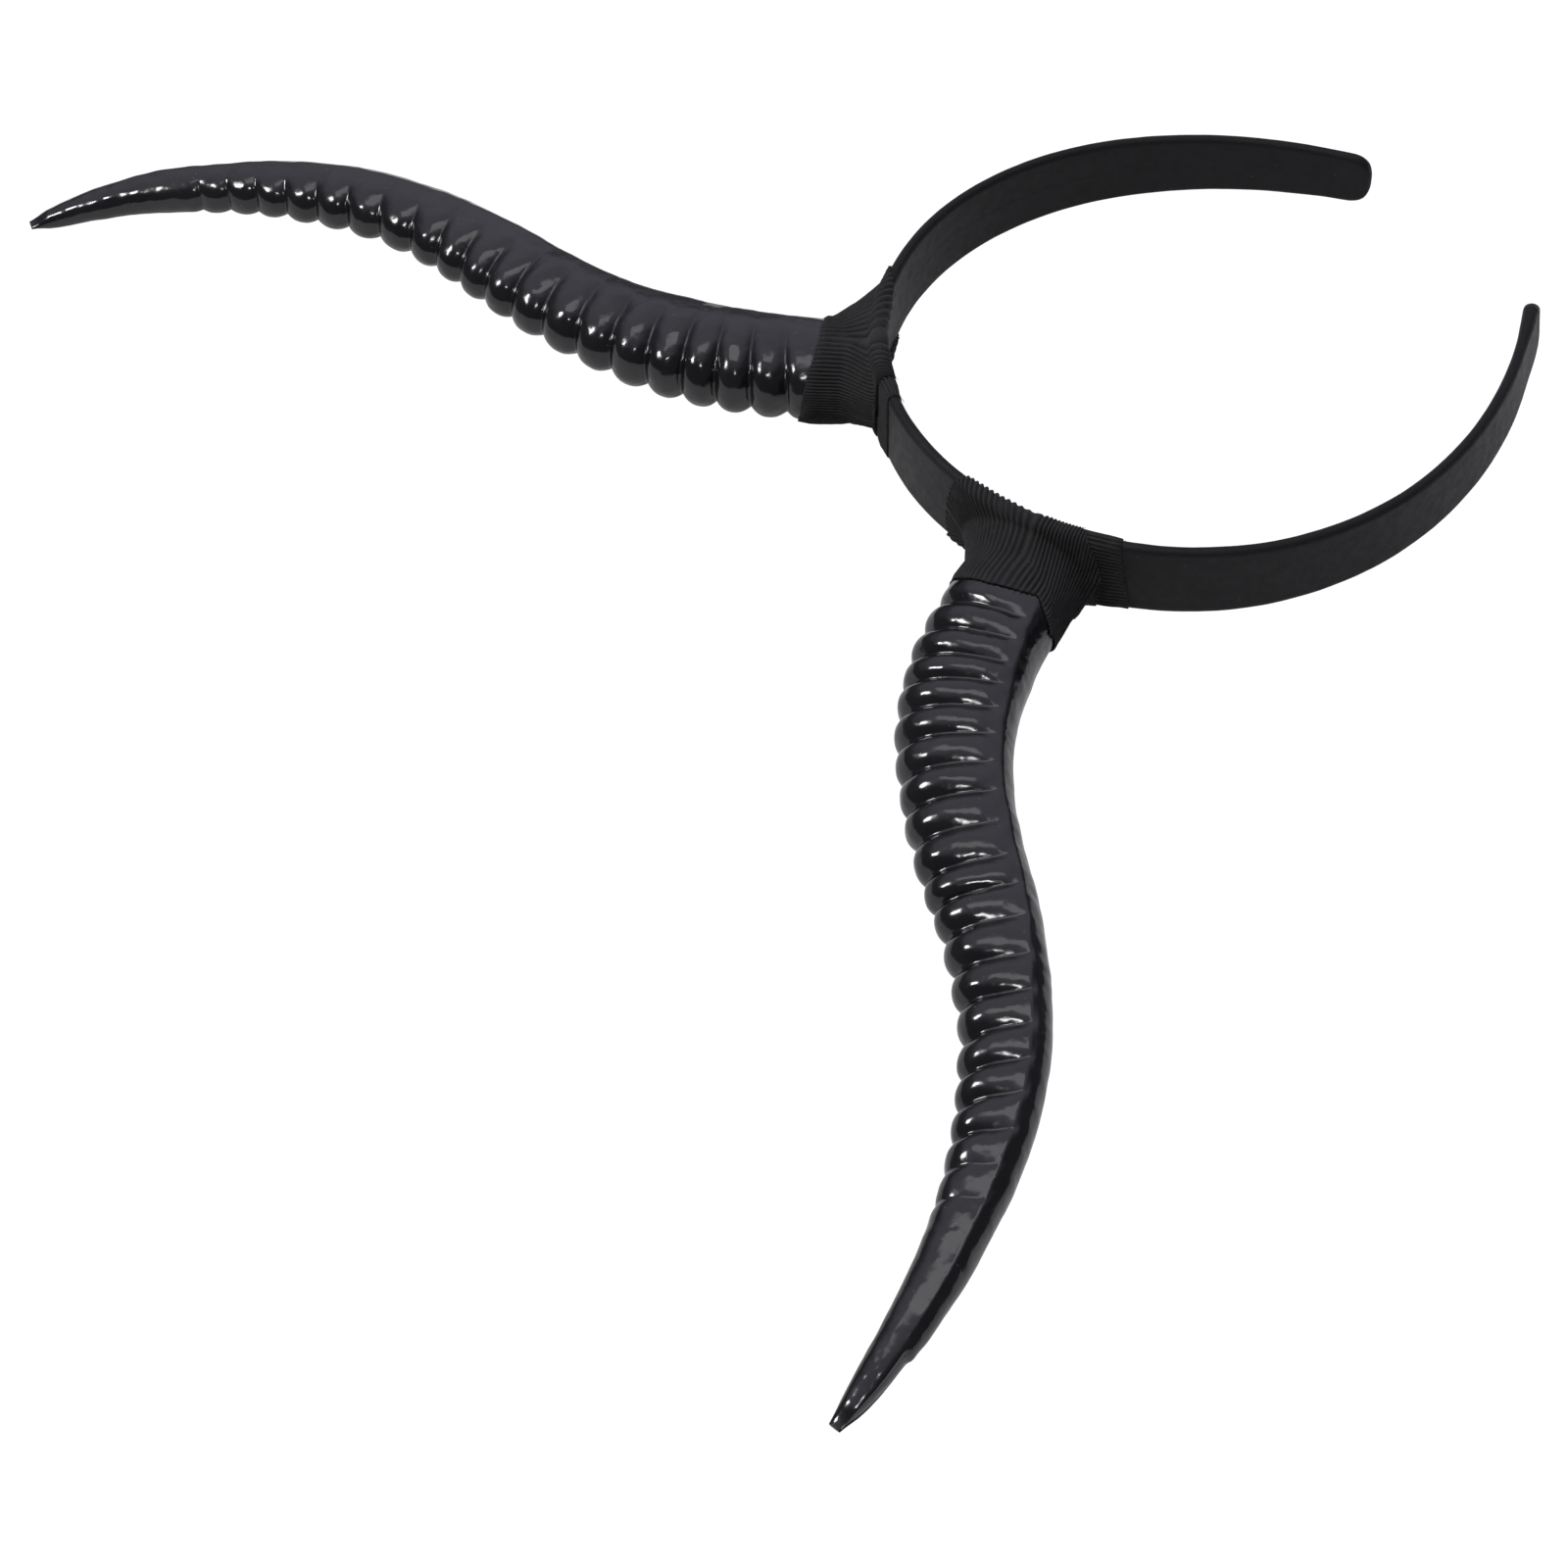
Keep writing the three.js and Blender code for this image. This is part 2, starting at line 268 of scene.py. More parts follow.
@dataclass(frozen=True)
class Lying:
    """Pose of the lying headband, which rests on its right wrap and both horn tips.

    Pitch and roll are in degrees.
    """

    pitch: float = 2.83
    roll: float = 0.17
    half_band: float = 1.25

    def turn(self) -> np.ndarray:
        """Rotation from the band's own frame to the row frame.

        Returns:
            The rotation's matrix.
        """
        pitch = Matrix.Rotation(math.radians(self.pitch), 3, "X")
        roll = Matrix.Rotation(math.radians(self.roll), 3, "Y")
        return np.array(pitch @ roll)

    def crown(self) -> np.ndarray:
        """Finds the middle of the crown from the band's node.

        Returns:
            Its place before the turn.
        """
        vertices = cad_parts["headband"].data.vertices
        points = np.empty(len(vertices) * 3)
        vertices.foreach_get("co", points)
        points = points.reshape(-1, 3) / MM @ self.turn()
        low = points.min(axis=0)
        high = points.max(axis=0)
        middle = (low + high) / 2.0
        return np.array((middle[0], low[1] + self.half_band, middle[2]))

    def place(self, points: np.ndarray) -> np.ndarray:
        """Points of the band's own frame in the row frame, in metres."""
        return (points + self.crown()) @ self.turn().T * MM


def mesh_object(name: str, shell: Shell, lying: Lying, side: Side = Side.RIGHT) -> bpy.types.Object:
    """Object of a shell in the row frame.

    Args:
        name: Name of the object.
        shell: Shell in the band's own frame, for the right side.
        lying: Pose of the headband.
        side: Side to put it on.

    Returns:
        The object, at the origin with its place in its mesh.
    """
    shell.points = lying.place(shell.points * (side.value, 1.0, 1.0))
    shell.outward()
    mesh = bpy.data.meshes.new(name)
    faces = shell.quads.tolist() + shell.triangles.tolist()
    mesh.from_pydata(shell.points.tolist(), [], faces, shade_flat=False)
    for attr, value in shell.numbers.items():
        if value.ndim == 1:
            layer = mesh.attributes.new(attr.value, "FLOAT", "POINT")
            layer.data.foreach_set("value", value.astype(np.float32))
        else:
            layer = mesh.attributes.new(attr.value, "FLOAT_VECTOR", "POINT")
            layer.data.foreach_set("vector", value.astype(np.float32).ravel())
    mesh.validate()
    piece = bpy.data.objects.new(name, mesh)
    bpy.context.scene.collection.objects.link(piece)
    return piece


# Node trees


class Bench:
    """Adds nodes to one tree and joins them."""

    def __init__(self, tree: bpy.types.NodeTree) -> None:
        """Bench for a tree."""
        self.tree = tree

    def feed(self, socket: bpy.types.NodeSocket, value: object) -> None:
        """Joins a socket to another one, or sets its value.

        Args:
            socket: Input socket.
            value: Output socket, or a plain value.
        """
        if isinstance(value, bpy.types.NodeSocket):
            self.tree.links.new(value, socket)
        else:
            socket.default_value = value

    def add(self, kind: str, inputs: dict | None = None, **settings: object) -> bpy.types.Node:
        """Adds a node.

        Args:
            kind: Type of the node.
            inputs: Values or sockets for its inputs, by name or number.
            **settings: Properties of the node.

        Returns:
            The node.
        """
        node = self.tree.nodes.new(kind)
        for name, value in settings.items():
            setattr(node, name, value)
        for key, value in (inputs or {}).items():
            self.feed(node.inputs[key], value)
        return node

    def math(self, operation: str, first: object, second: object = 0.0) -> bpy.types.NodeSocket:
        """Result of a Math node."""
        return self.add("ShaderNodeMath", {0: first, 1: second}, operation=operation).outputs[0]

    def blend(self, share: object, first: object, second: object) -> bpy.types.NodeSocket:
        """Mixes two colours.

        Args:
            share: Share of the second colour.
            first: First colour, as three numbers or a socket.
            second: Second colour, given in the same way.

        Returns:
            The mixed colour.
        """
        node = self.add("ShaderNodeMix", {0: share}, data_type="RGBA")
        for socket, colour in ((node.inputs[6], first), (node.inputs[7], second)):
            self.feed(socket, (*colour, 1.0) if isinstance(colour, tuple) else colour)
        return node.outputs[2]

    def group(self, tree: bpy.types.NodeTree, inputs: dict) -> bpy.types.NodeSocket:
        """First output of a shader group that is placed with its own values."""
        return self.add("ShaderNodeGroup", inputs, node_tree=tree).outputs[0]

    def attribute(self, attr: Attr, kind: str = "FLOAT") -> bpy.types.NodeSocket:
        """Values of a point attribute in a geometry tree."""
        node = self.add("GeometryNodeInputNamedAttribute", {"Name": attr.value}, data_type=kind)
        return node.outputs["Attribute"]


@dataclass(frozen=True)
class Socket:
    """Named input or output of a tree."""

    name: str
    kind: str
    value: float | int | None = None
    out: bool = False


def open_tree(
    name: str,
    kind: str,
    sockets: list[Socket],
) -> tuple[Bench, bpy.types.Node, bpy.types.Node]:
    """Starts a node tree with its inputs and outputs.

    Args:
        name: Name of the tree.
        kind: Type of the tree.
        sockets: Its inputs and outputs.

    Returns:
        The tree's bench, its input node and its output node.
    """
    tree = bpy.data.node_groups.new(name, kind)
    for socket in sockets:
        way = "OUTPUT" if socket.out else "INPUT"
        kind_name = f"NodeSocket{socket.kind}"
        made = tree.interface.new_socket(name=socket.name, in_out=way, socket_type=kind_name)
        if socket.value is not None:
            made.default_value = socket.value
    bench = Bench(tree)
    return bench, bench.add("NodeGroupInput"), bench.add("NodeGroupOutput")


def finish_tree(
    bench: Bench,
    shape: bpy.types.NodeSocket,
    inputs: bpy.types.Node,
    outputs: bpy.types.Node,
) -> None:
    """Ends a geometry tree: real meshes, with the finish set.

    Args:
        bench: The tree's bench.
        shape: Geometry to hand out.
        inputs: The tree's input node.
        outputs: The tree's output node.
    """
    real = bench.add("GeometryNodeRealizeInstances", {"Geometry": shape})
    dressed = bench.add(
        "GeometryNodeSetMaterial",
        {"Geometry": real.outputs["Geometry"], "Material": inputs.outputs["Material"]},
    )
    bench.feed(outputs.inputs["Geometry"], dressed.outputs["Geometry"])


def ridge_tree() -> bpy.types.NodeTree:
    """Tree that cuts grooves between the ridges or ribs of a smooth skin, and adds soft lumps.

    Returns:
        The tree. It reads the phase, depth and lump share of each point.
    """
    bench, inputs, outputs = open_tree(
        "Ridges",
        "GeometryNodeTree",
        [
            Socket("Geometry", "Geometry"),
            Socket("Narrowness", "Float", 2.0),
            Socket("Lump height", "Float", 0.0),
            Socket("Lumps per metre", "Float", 100.0),
            Socket("Seed", "Float", 0.0),
            Socket("Material", "Material"),
            Socket("Geometry", "Geometry", out=True),
        ],
    )
    swing = bench.math("PINGPONG", bench.attribute(Attr.PHASE), 0.5)
    valley = bench.math("POWER", bench.math("MULTIPLY", swing, 2.0), inputs.outputs["Narrowness"])
    groove = bench.math("MULTIPLY", valley, bench.attribute(Attr.DEPTH))
    noise = bench.add(
        "ShaderNodeTexNoise",
        {
            "Vector": bench.add("GeometryNodeInputPosition").outputs[0],
            "W": inputs.outputs["Seed"],
            "Scale": inputs.outputs["Lumps per metre"],
            "Detail": 2.0,
        },
        noise_dimensions="4D",
    )
    swell = bench.math("SUBTRACT", noise.outputs[0], 0.5)
    height = bench.math("MULTIPLY", inputs.outputs["Lump height"], bench.attribute(Attr.LUMP))
    lift = bench.math("SUBTRACT", bench.math("MULTIPLY", swell, height), groove)
    push = bench.add(
        "ShaderNodeVectorMath",
        {0: bench.add("GeometryNodeInputNormal").outputs[0], "Scale": lift},
        operation="SCALE",
    )
    moved = bench.add(
        "GeometryNodeSetPosition",
        {"Geometry": inputs.outputs["Geometry"], "Offset": push.outputs[0]},
    )
    finish_tree(bench, moved.outputs["Geometry"], inputs, outputs)
    return bench.tree


@dataclass(frozen=True)
class FibreShape:
    """Shape of a loose fibre.

    Middle and end are how far its middle and its end are from its root, as shares of its length. End bow
    is how far its end swings aside, as a share of the middle's swing. Tilt and spin are the most that it
    turns, in radians, and growth is the range of its size.
    """

    middle: float = 0.6
    end: float = 0.8
    end_bow: float = -0.4
    tilt: float = 0.5
    spin: float = 3.1
    growth: tuple[float, float] = (0.5, 1.2)
    bend_points: int = 8
    sides: int = 5


def fibre_tree(shape: FibreShape) -> bpy.types.NodeTree:
    """Tree that puts a curled fibre on each point of a mesh.

    Args:
        shape: Shape of the fibres.

    Returns:
        The tree. It reads the direction in which each fibre leans.
    """
    bench, inputs, outputs = open_tree(
        "Fibres",
        "GeometryNodeTree",
        [
            Socket("Geometry", "Geometry"),
            Socket("Length", "Float", 0.002),
            Socket("Radius", "Float", 0.00005),
            Socket("Curl", "Float", 0.5),
            Socket("Seed", "Int", 0),
            Socket("Material", "Material"),
            Socket("Geometry", "Geometry", out=True),
        ],
    )
    length = inputs.outputs["Length"]
    bow = bench.math("MULTIPLY", length, inputs.outputs["Curl"])
    rise = bench.math("MULTIPLY", length, shape.middle)
    middle = bench.add("ShaderNodeCombineXYZ", {"X": bow, "Z": rise})
    end = bench.add(
        "ShaderNodeCombineXYZ",
        {"X": bench.math("MULTIPLY", bow, shape.end_bow), "Z": bench.math("MULTIPLY", length, shape.end)},
    )
    line = bench.add(
        "GeometryNodeCurveQuadraticBezier",
        {
            "Resolution": shape.bend_points,
            "Start": (0.0, 0.0, 0.0),
            "Middle": middle.outputs[0],
            "End": end.outputs[0],
        },
    )
    round_section = bench.add(
        "GeometryNodeCurvePrimitiveCircle",
        {"Resolution": shape.sides, "Radius": inputs.outputs["Radius"]},
    )
    fibre = bench.add(
        "GeometryNodeCurveToMesh",
        {"Curve": line.outputs[0], "Profile Curve": round_section.outputs[0], "Fill Caps": True},
    )
    points = bench.add("GeometryNodeMeshToPoints", {"Mesh": inputs.outputs["Geometry"]})
    lean = bench.add(
        "FunctionNodeAlignRotationToVector",
        {"Vector": bench.attribute(Attr.LEAN, "FLOAT_VECTOR")},
        axis="Z",
    )
    most = (shape.tilt, shape.tilt, shape.spin)
    spin = bench.add(
        "FunctionNodeRandomValue",
        {0: tuple(-turn for turn in most), 1: most, "Seed": inputs.outputs["Seed"]},
        data_type="FLOAT_VECTOR",
    )
    turned = bench.add(
        "FunctionNodeRotateRotation",
        {"Rotation": lean.outputs[0], "Rotate By": spin.outputs[0]},
        rotation_space="LOCAL",
    )
    smallest, largest = shape.growth
    grow = bench.add(
        "FunctionNodeRandomValue",
        {2: smallest, 3: largest, "Seed": inputs.outputs["Seed"]},
        data_type="FLOAT",
    )
    placed = bench.add(
        "GeometryNodeInstanceOnPoints",
        {
            "Points": points.outputs[0],
            "Instance": fibre.outputs[0],
            "Rotation": turned.outputs[0],
            "Scale": grow.outputs[1],
        },
    )
    finish_tree(bench, placed.outputs[0], inputs, outputs)
    return bench.tree


def settle(piece: bpy.types.Object, tree: bpy.types.NodeTree, sizes: dict[str, object]) -> None:
    """Runs a geometry tree on a piece and keeps the result as its plain mesh.

    Args:
        piece: Object to work on.
        tree: Geometry tree.
        sizes: Values of the tree's inputs, by their names.
    """
    modifier = piece.modifiers.new(tree.name, "NODES")
    modifier.node_group = tree
    for item in tree.interface.items_tree:
        if item.in_out == "INPUT" and item.name in sizes:
            modifier[item.identifier] = sizes[item.name]
    graph = bpy.context.evaluated_depsgraph_get()
    made = bpy.data.meshes.new_from_object(
        piece.evaluated_get(graph), preserve_all_data_layers=True, depsgraph=graph
    )
    piece.modifiers.remove(modifier)
    base = piece.data
    piece.data = made
    made.name = piece.name
    bpy.data.meshes.remove(base)


# Finishes


class Effects:
    """Shader groups that several finishes share."""

    def __init__(self) -> None:
        """Builds each group once."""
        self.mottle = self._mottle()
        self.threads = self._threads()
        self.dust = self._dust()

    @staticmethod
    def _mottle() -> bpy.types.NodeTree:
        """Cloudy value between a low and a high one.

        Returns:
            The group's tree.
        """
        bench, inputs, outputs = open_tree(
            "Mottle",
            "ShaderNodeTree",
            [
                Socket("Vector", "Vector"),
                Socket("Scale", "Float", 100.0),
                Socket("Detail", "Float", 4.0),
                Socket("Low", "Float", 0.0),
                Socket("High", "Float", 1.0),
                Socket("Value", "Float", out=True),
            ],
        )
        noise = bench.add(
            "ShaderNodeTexNoise",
            {name: inputs.outputs[name] for name in ("Vector", "Scale", "Detail")},
        )
        spread = bench.add(
            "ShaderNodeMapRange",
            {
                "Value": noise.outputs[0],
                "From Min": 0.3,
                "From Max": 0.7,
                "To Min": inputs.outputs["Low"],
                "To Max": inputs.outputs["High"],
            },
        )
        bench.feed(outputs.inputs["Value"], spread.outputs[0])
        return bench.tree

    @staticmethod
    def _threads() -> bpy.types.NodeTree:
        """Height of woven threads, by the place on the cloth.

        Returns:
            The group's tree.
        """
        bench, inputs, outputs = open_tree(
            "Threads",
            "ShaderNodeTree",
            [
                Socket("Cloth", "Vector"),
                Socket("Across pitch", "Float", 0.0004),
                Socket("Along pitch", "Float", 0.0004),
                Socket("Height", "Float", out=True),
            ],
        )
        cloth = bench.add("ShaderNodeSeparateXYZ", {0: inputs.outputs["Cloth"]})
        waves = []
        for axis, pitch in (("X", "Across pitch"), ("Y", "Along pitch")):
            turns = bench.math("DIVIDE", cloth.outputs[axis], inputs.outputs[pitch])
            waves.append(bench.math("SINE", bench.math("MULTIPLY", turns, 2.0 * math.pi)))
        crossing = bench.math("MULTIPLY", *waves)
        height = bench.math("ADD", bench.math("MULTIPLY", crossing, 0.5), 0.5)
        bench.feed(outputs.inputs["Height"], height)
        return bench.tree

    @staticmethod
    def _dust() -> bpy.types.NodeTree:
        """Mask of small scattered specks.

        Returns:
            The group's tree.
        """
        bench, inputs, outputs = open_tree(
            "Dust",
            "ShaderNodeTree",
            [
                Socket("Vector", "Vector"),
                Socket("Scale", "Float", 400.0),
                Socket("Amount", "Float", 0.05),
                Socket("Radius", "Float", 0.16),
                Socket("Mask", "Float", out=True),
            ],
        )
        cells = bench.add(
            "ShaderNodeTexVoronoi",
            {"Vector": inputs.outputs["Vector"], "Scale": inputs.outputs["Scale"]},
        )
        near = bench.math("LESS_THAN", cells.outputs["Distance"], inputs.outputs["Radius"])
        chance = bench.add("ShaderNodeSeparateColor", {0: cells.outputs["Color"]})
        chosen = bench.math("LESS_THAN", chance.outputs[0], inputs.outputs["Amount"])
        bench.feed(outputs.inputs["Mask"], bench.math("MULTIPLY", near, chosen))
        return bench.tree


@dataclass(frozen=True)
class Finish:
    """Procedural finish: cloudy colour and roughness, specks of dust and a fine relief."""

    name: str
    dark: Colour
    pale: Colour
    cloud_scale: float
    rough: tuple[float, float]
    rough_scale: float
    relief_height: float
    relief_scale: float = 380.0
    relief_detail: float = 0.8
    dust_amount: float = 0.02
    dust_scale: float = 1300.0
    dust_colour: Colour = (0.07, 0.07, 0.075)
    gloss: tuple[tuple[str, float], ...] = ()

    def relief(self, bench: Bench, effects: Effects, place: bpy.types.NodeSocket) -> bpy.types.NodeSocket:
        """Height of the fine relief, from 0 to 1."""
        waves = {"Vector": place, "Scale": self.relief_scale, "Detail": self.relief_detail}
        return bench.group(effects.mottle, waves)

    def tone(self, bench: Bench, effects: Effects, place: bpy.types.NodeSocket) -> bpy.types.NodeSocket:
        """Share of the pale colour, from 0 to 1."""
        return bench.group(effects.mottle, {"Vector": place, "Scale": self.cloud_scale})

    def material(self, effects: Effects) -> bpy.types.Material:
        """Makes the material.

        Args:
            effects: Shader groups that the finishes share.

        Returns:
            The material.
        """
        material = bpy.data.materials.new(self.name)
        material.use_nodes = True
        bench = Bench(material.node_tree)
        shader = material.node_tree.nodes["Principled BSDF"]
        place = bench.add("ShaderNodeTexCoord").outputs["Object"]
        specks = {"Vector": place, "Scale": self.dust_scale, "Amount": self.dust_amount}
        dust = bench.group(effects.dust, specks)
        body = bench.blend(self.tone(bench, effects, place), self.dark, self.pale)
        bench.feed(shader.inputs["Base Color"], bench.blend(dust, body, self.dust_colour))
        low, high = self.rough
        sheen = {"Vector": place, "Scale": self.rough_scale, "Low": low, "High": high}
        bench.feed(shader.inputs["Roughness"], bench.group(effects.mottle, sheen))
        height = self.relief(bench, effects, place)
        bump = bench.add("ShaderNodeBump", {"Height": height, "Distance": self.relief_height})
        bench.feed(shader.inputs["Normal"], bump.outputs[0])
        for socket, value in self.gloss:
            shader.inputs[socket].default_value = value
        return material


@dataclass(frozen=True)
class Cloth(Finish):
    """Finish of a woven cloth, with its threads along and across the piece."""

    across_pitch: float = 0.0004
    along_pitch: float = 0.0004

    def relief(self, bench: Bench, effects: Effects, place: bpy.types.NodeSocket) -> bpy.types.NodeSocket:
        """Height of the threads.

        Args:
            bench: Bench of the material's tree.
            effects: Shader groups that the finishes share.
            place: Object coordinates; not used, as the threads don't follow them.

        Returns:
            The height, from 0 to 1.
        """
        cloth = bench.add("ShaderNodeAttribute", attribute_name=Attr.CLOTH.value)
        pitches = {"Across pitch": self.across_pitch, "Along pitch": self.along_pitch}
        return bench.group(effects.threads, {"Cloth": cloth.outputs["Vector"], **pitches})


@dataclass(frozen=True)
class Ribbed(Cloth):
    """Finish of a ribbed cloth, with painted shade in its rib valleys and painted sheen on its crests."""

    # Lowest share of the painted crest sheen, where the cloudy patches are darkest.
    crest_sheen_low: float = 0.5

    def tone(self, bench: Bench, effects: Effects, place: bpy.types.NodeSocket) -> bpy.types.NodeSocket:
        """Share of the pale colour: a painted sheen, full on the crests, and painted shade in the
        valleys.

        Args:
            bench: Bench of the material's tree.
            effects: Shader groups that the finishes share.
            place: Object coordinates.

        Returns:
            The share, from 0 to 1.
        """
        cloth = bench.add("ShaderNodeAttribute", attribute_name=Attr.CLOTH.value)
        across = bench.add("ShaderNodeSeparateXYZ", {0: cloth.outputs["Vector"]}).outputs["X"]
        swing = bench.math("PINGPONG", bench.math("DIVIDE", across, MM), 0.5)
        # Painted light: pale on the rib crests as a painted sheen, dark in the valleys as painted shade.
        crest = bench.math("SUBTRACT", 1.0, bench.math("MULTIPLY", swing, 2.0))
        patches = {"Vector": place, "Scale": self.cloud_scale, "Low": self.crest_sheen_low}
        return bench.math("MULTIPLY", bench.group(effects.mottle, patches), crest)


HORN_PLASTIC = Finish(
    name="horn_plastic",
    dark=(0.0050, 0.0050, 0.0056),
    pale=(0.0085, 0.0085, 0.0095),
    cloud_scale=160.0,
    rough=(0.11, 0.19),
    rough_scale=300.0,
    relief_height=0.00007,
    dust_amount=0.03,
)

BAND_SATIN = Cloth(
    name="band_satin",
    dark=(0.0062, 0.0056, 0.0064),
    pale=(0.0085, 0.0078, 0.0088),
    cloud_scale=90.0,
    rough=(0.46, 0.58),
    rough_scale=500.0,
    relief_height=0.00003,
    dust_amount=0.012,
    gloss=(("Sheen Weight", 0.04), ("Sheen Roughness", 0.4), ("Specular IOR Level", 0.16)),
    across_pitch=0.00045,
    along_pitch=0.0003,
)

# Dark is painted shade for the rib valleys and pale a painted sheen for the rib crests, mixed by the
# crest mask in Ribbed.tone.
WRAP_RIBBON = Ribbed(
    name="wrap_ribbon",
    dark=(0.0035, 0.0033, 0.0035),
    pale=(0.0198, 0.0186, 0.0195),
    cloud_scale=220.0,
    rough=(0.72, 0.85),
    rough_scale=800.0,
    relief_height=0.00006,
    dust_amount=0.02,
    gloss=(("Sheen Weight", 0.05), ("Sheen Roughness", 0.5), ("Specular IOR Level", 0.3)),
    across_pitch=0.0006,
    along_pitch=0.0005,
)


@dataclass(frozen=True)
class SkinForm:
    """What the ridge tree does to a smooth skin: its lumps, in metres, and how narrow its grooves are."""

    lump_height: float
    lumps_per_metre: float
    seed: float
    narrowness: float = 2.0


@dataclass
class Kit:
    """What every piece is made with: the pose, the node trees and the materials."""

    lying: Lying
    ridges: bpy.types.NodeTree
    fibres: bpy.types.NodeTree
    materials: dict[str, bpy.types.Material]

    @staticmethod
    def stocked() -> "Kit":
        """Makes the node trees and the materials.

        Returns:
            A kit with everything in it.
        """
        effects = Effects()
        finishes = (HORN_PLASTIC, BAND_SATIN, WRAP_RIBBON)
        materials = {finish.name: finish.material(effects) for finish in finishes}
        return Kit(Lying(), ridge_tree(), fibre_tree(FibreShape()), materials)

    def carve(self, piece: bpy.types.Object, form: SkinForm, finish: Finish, shift: int = 0) -> None:
        """Cuts a piece's grooves, raises its lumps and dresses it.

        Args:
            piece: Piece with a smooth skin.
            form: Its grooves and lumps.
            finish: Finish to dress it in.
            shift: Number to add to the seed.
        """
        sizes = {
            "Narrowness": form.narrowness,
            "Lump height": form.lump_height,
            "Lumps per metre": form.lumps_per_metre,
            "Seed": form.seed + shift,
            "Material": self.materials[finish.name],
        }
        settle(piece, self.ridges, sizes)

    def keep(self, piece: bpy.types.Object, node: str | None = None) -> bpy.types.Object:
        """Hands a finished piece to the frame.

        Args:
            piece: Finished piece.
            node: CAD node that it stands for, if any.

        Returns:
            The same piece.
        """
        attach(piece, BODY)
        if node:
            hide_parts(node)
        return piece


# The band


@dataclass(frozen=True)
class BandPlaces:
    """Places on the band's centre line."""

    point: np.ndarray
    normal: np.ndarray
    heading: np.ndarray


@dataclass(frozen=True)
class BandLine:
    """Centre line and section of the band.

    Bends are lengths and radii from the crown to a tip. Twist is how far the right arm's outer face turns
    up at its tip, in degrees, and twisted the stretch over which it does so.
    """

    bends: tuple[tuple[float, float], ...] = ((90, 62.5), (30, 71), (25, 90), (20, 108), (20, 180))
    thickness: float = 2.5
    crown_width: float = 18.0
    tip_width: float = 11.3
    taper: float = 2.5
    twist: float = 7.0
    twisted: tuple[float, float] = (90.0, 172.0)
    least_flat: float = 0.01

    def at(self, arc: np.ndarray) -> BandPlaces:
        """Places at distances along the band from the crown.

        Args:
            arc: Distances, positive on the right.

        Returns:
            Points, outward normals and headings, which start along +X.
        """
        left = np.abs(arc)
        heading = np.zeros_like(left)
        x = np.zeros_like(left)
        y = np.zeros_like(left)
        for length, radius in self.bends:
            step = np.minimum(left, length)
            ahead = heading + step / radius
            x = x + radius * (np.sin(ahead) - np.sin(heading))
            y = y + radius * (np.cos(heading) - np.cos(ahead))
            heading = ahead
            left = left - step
        side = np.where(arc < 0.0, -1.0, 1.0)
        normal = np.stack((side * np.sin(heading), -np.cos(heading)), axis=-1)
        return BandPlaces(np.stack((side * x, y), axis=-1), normal, heading)

    def width(self, arc: np.ndarray) -> np.ndarray:
        """Width of the band, which narrows towards its tips."""
        share = np.abs(arc) / sum(length for length, _ in self.bends)
        return self.crown_width + (self.tip_width - self.crown_width) * share**self.taper

    def half_round(self, arc: np.ndarray, lift: np.ndarray | float = 0.0) -> np.ndarray:
        """Distance round the section from the middle of its outer face to that of its inner face."""
        radius = self.thickness / 2.0 + lift
        return self.width(arc) + 2.0 * lift + (math.pi - 2.0) * radius

    def around(
        self,
        arc: np.ndarray,
        round_it: np.ndarray,
        lift: np.ndarray | float = 0.0,
        trim: np.ndarray | float = 0.0,
    ) -> np.ndarray:
        """Points on or over the band's surface.

        Args:
            arc: Distances along the band.
            round_it: Distances round the section from the middle of the outer face, positive upwards.
            lift: Heights over the surface.
            trim: Share of the half width that a tip's corners take off.

        Returns:
            The points.
        """
        radius = self.thickness / 2.0 + lift
        flat = np.maximum(self.width(arc) / 2.0 + lift - trim - radius, self.least_flat)
        way = np.abs(round_it)
        angle = np.clip((way - flat) / radius, 0.0, math.pi)
        past = np.maximum(way - flat - math.pi * radius, 0.0)
        out = radius * np.cos(angle)
        height = np.minimum(way, flat) + radius * np.sin(angle) - np.minimum(past, flat)
        rise = np.sign(round_it) * height
        turn = math.radians(self.twist) * smooth(*self.twisted, arc)
        away = out * np.cos(turn) - rise * np.sin(turn)
        up = rise * np.cos(turn) + out * np.sin(turn)
        places = self.at(arc)
        return np.concatenate((places.point + places.normal * away[..., None], up[..., None]), axis=-1)


